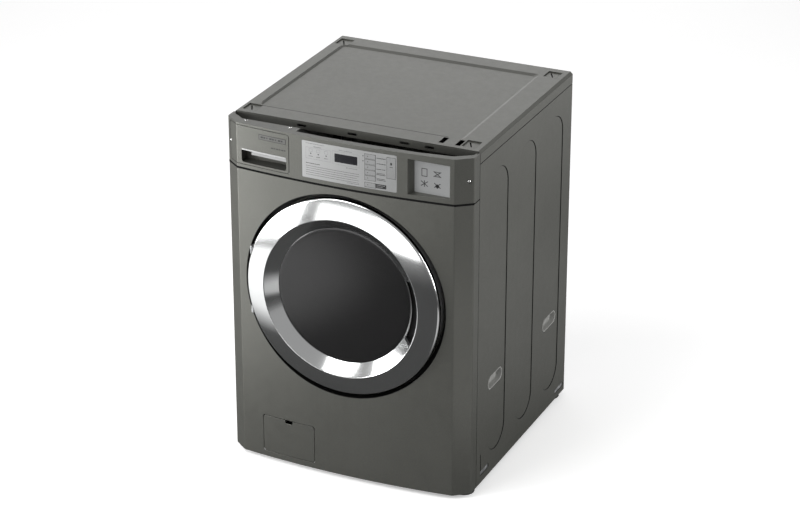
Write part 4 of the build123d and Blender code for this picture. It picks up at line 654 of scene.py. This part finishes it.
for i in range(8):
    a = radians(22.5 + 45 * i)
    place = (COVER_SCREWS * cos(a), cover_low.y + 0.001, DOOR_Z + COVER_SCREWS * sin(a))
    cabinet.append((place, (1, 0, 0), (0, 0, -1), 0.004, 0.0022))
screws("cabinet_screw_heads", cabinet, "casing", ("cabinet_screws",))
DOOR_SCREWS = 0.247
door_screws = []
for i in range(10):
    a = radians(18 + 36 * i)
    if abs(i * 36 + 18 - 180) > 30:
        place = (DOOR_SCREWS * cos(a), DOOR_BACK, DOOR_Z + DOOR_SCREWS * sin(a))
        door_screws.append((place, (1, 0, 0), (0, 0, -1), 0.0045, 0.0018))
screws("door_back_screws", door_screws, "door")

# ---------------------------------------------------------------- gasket, springs, hoses
gasket_low, gasket_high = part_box("door_gasket")
g0, g1 = gasket_low.y, gasket_high.y
folds = [(0.1925, g0 + 0.001), (0.1960, g0), (0.1972, g0 + 0.006), (0.1967, g0 + 0.016), (0.2005, g0 + 0.021),
         (0.2015, g0 + 0.027), (0.1935, g0 + 0.029), (0.1925, g0 + 0.033), (0.2005, g0 + 0.036),
         (0.2010, g0 + 0.042), (0.1950, g0 + 0.046), (0.1925, g0 + 0.051), (0.1922, g1)]
gasket = ring_mesh(thick(rounded(folds, 0.003, 4, closed=False), -0.0024), 160, centre=(0, DOOR_Z))
gasket_piece = finish_piece(gasket, "door_gasket_bellows", "rubber_grey", None, 50, ("door_gasket",))
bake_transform(gasket_piece)


def tube_mesh(points, radius, sides=10, mesh=None):
    """Round wire through points, with a frame carried along."""
    mesh = mesh or bmesh.new()
    pts = [Vector(p) for p in points]
    tangent = (pts[1] - pts[0]).normalized()
    up = tangent.orthogonal().normalized()
    rows = []
    for i, p in enumerate(pts):
        a, b = pts[max(i - 1, 0)], pts[min(i + 1, len(pts) - 1)]
        t = (b - a).normalized()
        up = (up - t * up.dot(t)).normalized()
        side = t.cross(up)
        rows.append([mesh.verts.new(p + (up * cos(tau * k / sides) + side * sin(tau * k / sides)) * radius)
                     for k in range(sides)])
    for a, b in zip(rows, rows[1:]):
        for k in range(sides):
            m = (k + 1) % sides
            mesh.faces.new((a[k], b[k], b[m], a[m]))
    mesh.faces.new(rows[0][::-1])
    mesh.faces.new(rows[-1])
    return mesh


spring_low, spring_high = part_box("suspension_springs")
coil_r, wire = 0.0117, 0.0021
parts = []
for side in (-1, 1):
    cx = side * (spring_high.x - 0.014)
    cy = (spring_low.y + spring_high.y) / 2
    turns, points = 19, []
    z0, z1 = spring_low.z + wire, spring_high.z - wire
    for i in range(turns * 18 + 1):
        a = tau * i / 18
        points.append((cx + coil_r * cos(a), cy + coil_r * sin(a), z0 + (z1 - z0) * i / (turns * 18)))
    parts.append(tube_mesh(points, wire, 8))
springs = joined("suspension_coils", parts, "bright_steel", None, sharp=60, replace=("suspension_springs",))
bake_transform(springs)

sump_low, sump_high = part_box("sump_hose")
sx, sy = (sump_low.x + sump_high.x) / 2, (sump_low.y + sump_high.y) / 2
line = [(0.0228, sump_low.z), (0.0228, sump_low.z + 0.018)]
ribs = 9
for i in range(ribs):
    z = sump_low.z + 0.022 + i * (sump_high.z - sump_low.z - 0.044) / ribs
    step = (sump_high.z - sump_low.z - 0.044) / ribs
    line += [(0.0212, z), (0.0228, z + step * 0.35), (0.0228, z + step * 0.65), (0.0212, z + step)]
line += [(0.0228, sump_high.z - 0.018), (0.0228, sump_high.z)]
sump = ring_mesh(thick(line, 0.0022), 48, centre=(sx, sy), axis="Z")
sump_piece = finish_piece(sump, "sump_bellows", "rubber_black", None, 60, ("sump_hose",))
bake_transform(sump_piece)

# ---------------------------------------------------------------- control panel graphics
FILM = -0.0001
parts, faint, silver = [], [], []


def print_bar(left, right, bottom, top, group, radius=0.0, proud=0.00004):
    group.append(skin_box(left * MM, right * MM, bottom * MM, top * MM,
                          FILM - proud, FILM + 0.00003, radius * MM, 4))


def print_frame(left, right, bottom, top, group, width=0.35):
    print_bar(left, right, top - width, top, group)
    print_bar(left, right, bottom, bottom + width, group)
    print_bar(left, left + width, bottom, top, group)
    print_bar(right - width, right, bottom, top, group)


def ticks(left, right, middle, height, group, seed):
    """Row of short marks where the real film has words."""
    x, k = left, seed
    while x < right - 0.6:
        k = (k * 37 + 11) % 101
        w = 1.1 + (k % 5) * 0.75
        print_bar(x, min(x + w, right), middle - height / 2, middle + height / 2, group)
        x += w + 0.7


print_frame(-22, 51, 894.5, 929.5, faint, 0.3)
print_frame(-98, -27, 896.5, 927, faint, 0.3)
ticks(-98, -46, 937.5, 1.2, faint, 3)
ticks(-76, -54, 930.2, 1.3, parts, 5)
ticks(-5, 32, 933.2, 1.2, faint, 8)
for i, x in enumerate((-84, -62.5, -40.5)):
    print_frame(x - 5, x + 5, 916, 923.5, faint, 0.4)
    print_bar(x - 1.6, x + 1.6, 909.5, 912.7, parts, 0.8)
    ticks(x - 5.5, x + 5.5, 903.6, 1.3, parts, 12 + i)
ticks(-98, -58, 884.2, 1.8, parts, 4)
for i in range(5):
    ticks(-98, 50 if i not in (2,) else 44, 876.8 - 5.8 * i, 1.25, faint, 20 + i)
ticks(18, 50, 849.6, 1.2, faint, 31)
print_bar(16, 18.4, 888, 890.4, parts, 1.1)
ticks(22, 46, 889.2, 1.2, faint, 40)
for z in (929.5, 916):
    print_bar(59.8, 62.8, z - 1.5, z + 1.5, parts, 1.4)
for i, z in enumerate((929.85, 915.25, 900.75, 886.25, 871.75)):
    ticks(98, 122.5, z - 1.0, 1.7, parts, 50 + i)
    if i > 2:
        ticks(98, 120, z + 2.4, 1.4, parts, 60 + i)
print_bar(94.6, 124, 848.4, 859.6, parts, 0.6)
for i, z in enumerate((856.4, 852.2)):
    ticks(98, 120 - 5 * i, z, 1.4, silver, 70 + i)
for k in range(len(silver)):
    for v in silver[k].verts:
        v.co.y -= 0.00003
joined("overlay_print", parts, "overlay_film", "casing", "ink")
joined("overlay_print_faint", faint, "overlay_film", "casing", "faint_ink")
joined("overlay_print_light", silver, "overlay_film", "casing", "overlay_film")


MARK_FRONT, MARK_BACK = -0.00036, -0.00025
DOT = 0.0011


def key_marks(node, body):
    low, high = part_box(node)
    x, z = low.x + 0.008, (low.z + high.z) / 2
    parts = []
    if high.z - low.z > 0.03:
        x = (low.x + high.x) / 2
        for du, dv, w, h in ((0, 0.0115, 0.0022, 0.0062), (0, 0.0025, 0.004, 0.0014)):
            parts.append(skin_box(x + du - w, x + du + w, z + dv - h / 2, z + dv + h / 2,
                                  MARK_FRONT, MARK_BACK, 0.0, 3))
    else:
        parts.append(skin_box(x - DOT, x + DOT, z - DOT, z + DOT, MARK_FRONT, MARK_BACK, 0.001, 3))
    joined(node + "_mark", parts, slot_of[node], body, "ink")


outlines = []
for node in slot_of:
    if node.endswith("_key") or node.startswith("program_key"):
        key_marks(node, node)
        low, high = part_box(node)
        print_frame((low.x - 0.0008) / MM, (high.x + 0.0008) / MM, (low.z - 0.0008) / MM,
                    (high.z + 0.0008) / MM, outlines, 0.9)
joined("key_outlines", outlines, "overlay_film", "casing", "ink")

plate_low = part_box("coin_plate")[0]
marks = []


def plate_bar(cx, cz, w, h, turn=0.0):
    mesh = box_mesh((-w / 2 - 0.0005, 0, -h / 2 - 0.0005), (w / 2 + 0.0005, 0.0001, h / 2 + 0.0005))
    bmesh.ops.rotate(mesh, verts=mesh.verts, cent=(0, 0, 0), matrix=Matrix.Rotation(radians(turn), 3, "Y"))
    bmesh.ops.translate(mesh, verts=mesh.verts, vec=(cx, plate_low.y - 0.00005, cz))
    marks.append(mesh)


cx0, cx1 = plate_low.x + 0.027, plate_low.x + 0.062
cz0, cz1 = plate_low.z + 0.056, plate_low.z + 0.026
for dx, w, h, dz in ((-0.007, 0.0008, 0.020, 0), (0.007, 0.0008, 0.020, 0), (0, 0.014, 0.0008, 0.010),
                     (0, 0.014, 0.0008, -0.010)):
    plate_bar(cx0 + dx, cz0 + dz, w, h)
for turn in (35, -35):
    plate_bar(cx1, cz0, 0.024, 0.0011, turn)
    plate_bar(cx0, cz1, 0.022, 0.0011, turn)
    plate_bar(cx1, cz1, 0.020, 0.0011, turn)
for dx, dz, w in ((0, 0.006, 0.012), (0, -0.006, 0.012)):
    plate_bar(cx1 + dx, cz0 + dz, w, 0.0008)
plate_bar(cx0, cz1, 0.0011, 0.016)
plate_bar(cx1, cz1 - 0.002, 0.008, 0.008, 45)
joined("coin_plate_marks", marks, "coin_grey", "casing", "ink")

# ---------------------------------------------------------------- drawer front
LABEL_LEFT, LABEL_RIGHT = -0.2355, -0.156
LABEL_BOTTOM, LABEL_TOP = 0.920, 0.934
LABEL_LINE = 0.0012
label = skin_box(LABEL_LEFT, LABEL_RIGHT, LABEL_BOTTOM, LABEL_TOP, -0.00025, 0.0001, 0.0008)
label_frame = [
    skin_box(left, right, bottom, top, -0.0004, 0.0001)
    for left, right, bottom, top in (
        (LABEL_LEFT, LABEL_RIGHT, LABEL_TOP - LABEL_LINE, LABEL_TOP),
        (LABEL_LEFT, LABEL_RIGHT, LABEL_BOTTOM, LABEL_BOTTOM + LABEL_LINE),
        (LABEL_LEFT, LABEL_LEFT + LABEL_LINE, LABEL_BOTTOM, LABEL_TOP),
        (LABEL_RIGHT - LABEL_LINE, LABEL_RIGHT, LABEL_BOTTOM, LABEL_TOP),
    )
]
finish_piece(label, "drawer_label_plate", "panel_plastic", "drawer", material="label_dark")
label_frame += [skin_box(-0.2295 + 0.0085 * k, -0.2295 + 0.0085 * k + 0.0068 - 0.0018 * (k % 3), 0.9248, 0.9292,
                         -0.0004, 0.0001) for k in range(8)]
label_frame += [skin_box(-0.199 + 0.0075 * k, -0.199 + 0.0075 * k + 0.0055 - 0.0012 * (k % 2), 0.9015, 0.9045,
                         -0.00015, 0.0001) for k in range(6)]
joined("drawer_label_border", label_frame, "panel_plastic", "drawer", "ink")
grip_lip = skin_box(-0.2875, -0.1565, 0.8815, 0.8852, -0.0006, 0.0016, 0.0006, 12)
finish_piece(grip_lip, "drawer_grip_lip", "panel_plastic", "drawer", material="overlay_film")
bar = skin_box(-0.2600, -0.1570, 0.8715, 0.8815, 0.0035, 0.0150, 0.0012, 12)
finish_piece(bar, "drawer_grip_bar", "grey_plastic", "drawer", material="grey_plastic")

# ---------------------------------------------------------------- painted shade: near-black strips behind and over the visible gaps
seam_z = front_high.z
SEAM_SHADE_SPILL = 0.0013
seam_shade = []
# Painted shade: a near-black strip inside the seam, and a thin one laid over the skin on both sides of it to widen
# the dark line
for low_z, high_z, front, back in (
    (seam_z + 0.0001, panel_low.z - 0.0001, 0.0003, 0.0060),
    (seam_z - SEAM_SHADE_SPILL, panel_low.z + SEAM_SHADE_SPILL, -0.0003, -0.0001),
):
    seam_shade.append(skin_box(-CREASE_X, CREASE_X, low_z, high_z, front, back, 0.0, 24))
    for side in (-1, 1):
        ends = sorted((side * CREASE_X, side * (HALF - 0.0004)))
        seam_shade.append(skin_box(ends[0], ends[1], low_z, high_z, front, back, 0.0, 2))
joined("front_seam_shade_strips", seam_shade, "black_plastic", "casing", "painted_shade")
TONGUE = 0.008
joint_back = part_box("right_side_panel")[0].y + TONGUE
# Painted shade: near-black strips behind the side panel joints
side_joint_shades = []
for side in (-1, 1):
    xs = sorted((side * (HALF - 0.0003), side * (HALF - 0.0009)))
    corner = (xs[1], joint_back - 0.0001, panel_high.z)
    side_joint_shades.append(box_mesh((xs[0], front_high.y + 0.0001, front_low.z), corner))
joined("side_joint_shade_strips", side_joint_shades, "black_plastic", "casing", "painted_shade")
dl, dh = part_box("drawer_front")
# Painted shade: a near-black frame behind the gap round the drawer front
around = []
for left, right, bottom, top in ((dl.x - 0.0013, dl.x - 0.0003, dl.z - 0.0013, dh.z + 0.0013),
                                 (dh.x + 0.0003, dh.x + 0.0013, dl.z - 0.0013, dh.z + 0.0013),
                                 (dl.x, dh.x, dl.z - 0.0013, dl.z - 0.0003),
                                 (dl.x, dh.x, dh.z + 0.0003, dh.z + 0.0013)):
    around.append(skin_box(left, right, bottom, top, 0.0004, 0.0024, 0.0, 8))
joined("drawer_gap_shade_strips", around, "black_plastic", "casing", "painted_shade")

# ---------------------------------------------------------------- lift pockets
POCKET_LENGTH, POCKET_HEIGHT, POCKET_DEPTH = 0.0934, 0.0384, 0.0172
PAD_DEPTH = 0.0016


def pocket_liner(side, hole):
    """Thin grey cup that lines a lift pocket, with a rolled rim just inside its mouth."""
    low, high = hole
    middle, up_middle = (low[1] + high[1]) / 2, (low[2] + high[2]) / 2
    half, radius = POCKET_LENGTH / 2, POCKET_HEIGHT / 2
    outline = []
    for k in range(40):
        a = tau * k / 40
        outline.append(((half - radius) * (1 if cos(a) > 0 else -1), radius, cos(a), sin(a)))
    deep = POCKET_DEPTH
    section = [(0.0, 0.0003), (0.0010, -0.0004), (0.0024, 0.0001), (0.0030, 0.0014), (0.0030, deep - 0.005),
               (0.0052, deep - 0.0014), (0.0100, deep - 0.0006)]
    mesh = bmesh.new()
    rows = []
    for inset, depth in section:
        rows.append([mesh.verts.new((side * (HALF - PAD_DEPTH - depth), middle + run + (r - inset) * c,
                                     up_middle + (r - inset) * d)) for run, r, c, d in outline])
    for a, b in zip(rows, rows[1:]):
        for k in range(40):
            m = (k + 1) % 40
            mesh.faces.new((a[k], a[m], b[m], b[k]))
    mesh.faces.new(rows[-1])
    return mesh


liners = []
for opening in frame["record"]["physics"]["openings"]:
    if opening["name"].startswith("lift_pocket"):
        hole = opening["box_m"]
        liners.append(pocket_liner(1 if hole[0][0] > 0 else -1, hole))
joined("lift_pocket_liners", liners, "grey_plastic", "casing", "pocket_grey", sharp=60)

# ---------------------------------------------------------------- back of the machine
beads = []
for x in (-0.255, 0.255):
    beads.append((x, 0.42, 0.030, 0.42))
for z in (0.115, 0.2):
    beads.append((0.02, z, 0.34, 0.026))
bead_parts = []
for cx, cz, w, h in beads:
    radius = min(w, h) / 2
    outline = []
    for k in range(24):
        a = tau * k / 24
        ox = (w / 2 - radius) * (1 if cos(a) > 1e-9 else -1)
        oz = (h / 2 - radius) * (1 if sin(a) > 1e-9 else -1)
        outline.append((ox + radius * cos(a), oz + radius * sin(a)))
    mesh = bmesh.new()
    rows = []
    for shrink, out in ((1.0, 0.0), (0.82, 0.0012), (0.62, 0.0021), (0.4, 0.0024)):
        rows.append([mesh.verts.new((cx + u - (1 - shrink) * radius * (u / max(abs(u), 1e-6)) * 0.9,
                                     rear_face + out,
                                     cz + v - (1 - shrink) * radius * (v / max(abs(v), 1e-6)) * 0.9))
                     for u, v in outline])
    for a, b in zip(rows, rows[1:]):
        for k in range(24):
            m = (k + 1) % 24
            mesh.faces.new((a[k], a[m], b[m], b[k]))
    mesh.faces.new(rows[-1])
    bead_parts.append(mesh)
joined("rear_panel_beads", bead_parts, "galvanised", "casing", sharp=60)

COLLAR_IN, COLLAR_OUT = 0.0134, 0.0190
collar = [(COLLAR_IN, rear_face), (COLLAR_OUT, rear_face), (COLLAR_OUT, rear_face + 0.003),
          (COLLAR_OUT - 0.0025, rear_face + 0.005), (COLLAR_IN, rear_face + 0.005)]
mount_places = {m["name"]: m["pos_m"] for m in frame["record"]["mounts"]}
collar_parts = []
for inlet in ("hot_inlet", "cold_inlet"):
    x, _, z = mount_places[inlet]
    collar_parts.append(ring_mesh(collar, 48, centre=(x, z)))
joined("inlet_collars", collar_parts, "white_plastic", "casing", "white_plastic")

# ---------------------------------------------------------------- stage
scene = bpy.context.scene


def stage_plane(name, size, z):
    mesh = bmesh.new()
    bmesh.ops.create_grid(mesh, x_segments=2, y_segments=2, size=size / 2)
    data = bpy.data.meshes.new(name)
    mesh.to_mesh(data)
    mesh.free()
    obj = bpy.data.objects.new(name, data)
    obj.location.z = z
    scene.collection.objects.link(obj)
    return obj


floor = stage_plane("stage_floor", 60.0, 0.0)
floor_mat = bpy.data.materials.new("stage_floor")
floor_mat.use_nodes = True
tree = floor_mat.node_tree
pale = tree.nodes["Principled BSDF"]
pale.inputs["Base Color"].default_value = (0.86, 0.86, 0.86, 1)
pale.inputs["Roughness"].default_value = 0.9
pale.inputs["Specular IOR Level"].default_value = 0.0
pale.inputs["Emission Color"].default_value = (1, 1, 1, 1)
pale.inputs["Emission Strength"].default_value = 0.32
dim = tree.nodes.new("ShaderNodeBsdfDiffuse")


def floor_ring(centre, stops):
    """Grey levels by distance from a point on the floor, for reflections only."""
    place = tree.nodes.new("ShaderNodeTexCoord").outputs["Object"]
    away = tree.nodes.new("ShaderNodeVectorMath")
    away.operation = "DISTANCE"
    away.inputs[1].default_value = centre
    tree.links.new(place, away.inputs[0])
    scaled = tree.nodes.new("ShaderNodeMath")
    scaled.operation = "MULTIPLY"
    scaled.inputs[1].default_value = 0.1
    tree.links.new(away.outputs["Value"], scaled.inputs[0])
    ramp = tree.nodes.new("ShaderNodeValToRGB")
    tree.links.new(scaled.outputs[0], ramp.inputs["Fac"])
    marks = ramp.color_ramp.elements
    while len(marks) < len(stops):
        marks.new(0.5)
    for mark, (at, grey) in zip(marks, stops):
        mark.position = at / 10
        mark.color = (grey, grey, grey, 1)
    return ramp.outputs["Color"]


# Painted reflection: the floor seen in reflections is dark grey near the machine, with lighter patches standing in
# for bright parts of a room
grey = floor_ring((0, 0, 0), [(2.6, 0.06), (4.2, 0.18), (5.6, 0.24), (8.8, 0.62)])
for centre, inner, outer, level in (
    ((-1.42, -1.38, 0), 0.80, 1.10, 0.66),
    ((1.15, -0.9, 0), 0.50, 0.80, 0.50),
    ((2.1, 3.2, 0), 1.2, 2.4, 0.40),
    ((0.95, 0.75, 0), 0.45, 1.0, 0.30),
):
    lighter = tree.nodes.new("ShaderNodeMix")
    lighter.data_type = "RGBA"
    lighter.blend_type = "LIGHTEN"
    lighter.inputs[0].default_value = 1.0
    tree.links.new(grey, lighter.inputs[6])
    tree.links.new(floor_ring(centre, [(inner, level), (outer, 0.0)]), lighter.inputs[7])
    grey = lighter.outputs[2]
tree.links.new(grey, dim.inputs["Color"])
# Glossy rays see that painted grey floor; camera and other rays see the pale floor
ray = tree.nodes.new("ShaderNodeLightPath")
blend_node = tree.nodes.new("ShaderNodeMixShader")
tree.links.new(ray.outputs["Is Glossy Ray"], blend_node.inputs[0])
tree.links.new(pale.outputs[0], blend_node.inputs[1])
tree.links.new(dim.outputs[0], blend_node.inputs[2])
tree.links.new(blend_node.outputs[0], tree.nodes["Material Output"].inputs["Surface"])
floor.data.materials.append(floor_mat)

world = bpy.data.worlds.new("studio")
scene.world = world
world.use_nodes = True
world.node_tree.nodes["Background"].inputs["Color"].default_value = (1.0, 1.0, 1.0, 1)
world.node_tree.nodes["Background"].inputs["Strength"].default_value = 0.36


def softbox(name, place, target, width, height, power):
    light = bpy.data.lights.new(name, "AREA")
    light.shape = "RECTANGLE"
    light.size = width
    light.size_y = height
    light.energy = power
    obj = bpy.data.objects.new(name, light)
    obj.location = place
    obj.rotation_euler = (Vector(target) - Vector(place)).to_track_quat("-Z", "Y").to_euler()
    scene.collection.objects.link(obj)
    return obj


for box in (
    ("left_front_box", (-3.4, -2.6, 1.0), (0, 0, 0.5), 2.4, 2.0, 150),
    ("top_box", (-1.3, -2.1, 3.4), (0, 0, 0.5), 2.2, 1.8, 62),
    ("right_box", (3.8, 0.6, 1.6), (0, 0, 0.5), 1.6, 2.4, 120),
    ("right_rear_box", (2.4, 2.9, 0.35), (0.34, 0, 0.35), 2.2, 0.7, 6),
    ("left_near_box", (-1.9, -1.1, 0.8), (-0.3, -0.35, 0.5), 0.9, 1.0, 16),
    ("high_front_box", (-0.9, -4.8, 0.75), (0, 0, 0.6), 3.4, 1.1, 26),
    ("rear_box", (-1.9, 4.2, 2.3), (0, 0, 0.9), 4.2, 3.0, 36),
):
    softbox(*box)

camera_data = bpy.data.cameras.new("camera")
camera = bpy.data.objects.new("camera", camera_data)
scene.collection.objects.link(camera)
camera_data.sensor_width = 36.0
camera_data.sensor_fit = "HORIZONTAL"
camera_data.lens = 120.25
camera_data.clip_end = 100.0
right = Vector((0.90820, 0.41854, 0.00032))
up = Vector((-0.17421, 0.37732, 0.90955))
back = Vector((0.38056, -0.82611, 0.41560))
place = Matrix((right, up, back)).transposed().to_4x4()
place.translation = Vector((2.71512, -5.90804, 3.43690))
camera.matrix_world = place
scene.camera = camera
scene.view_settings.view_transform = "Standard"
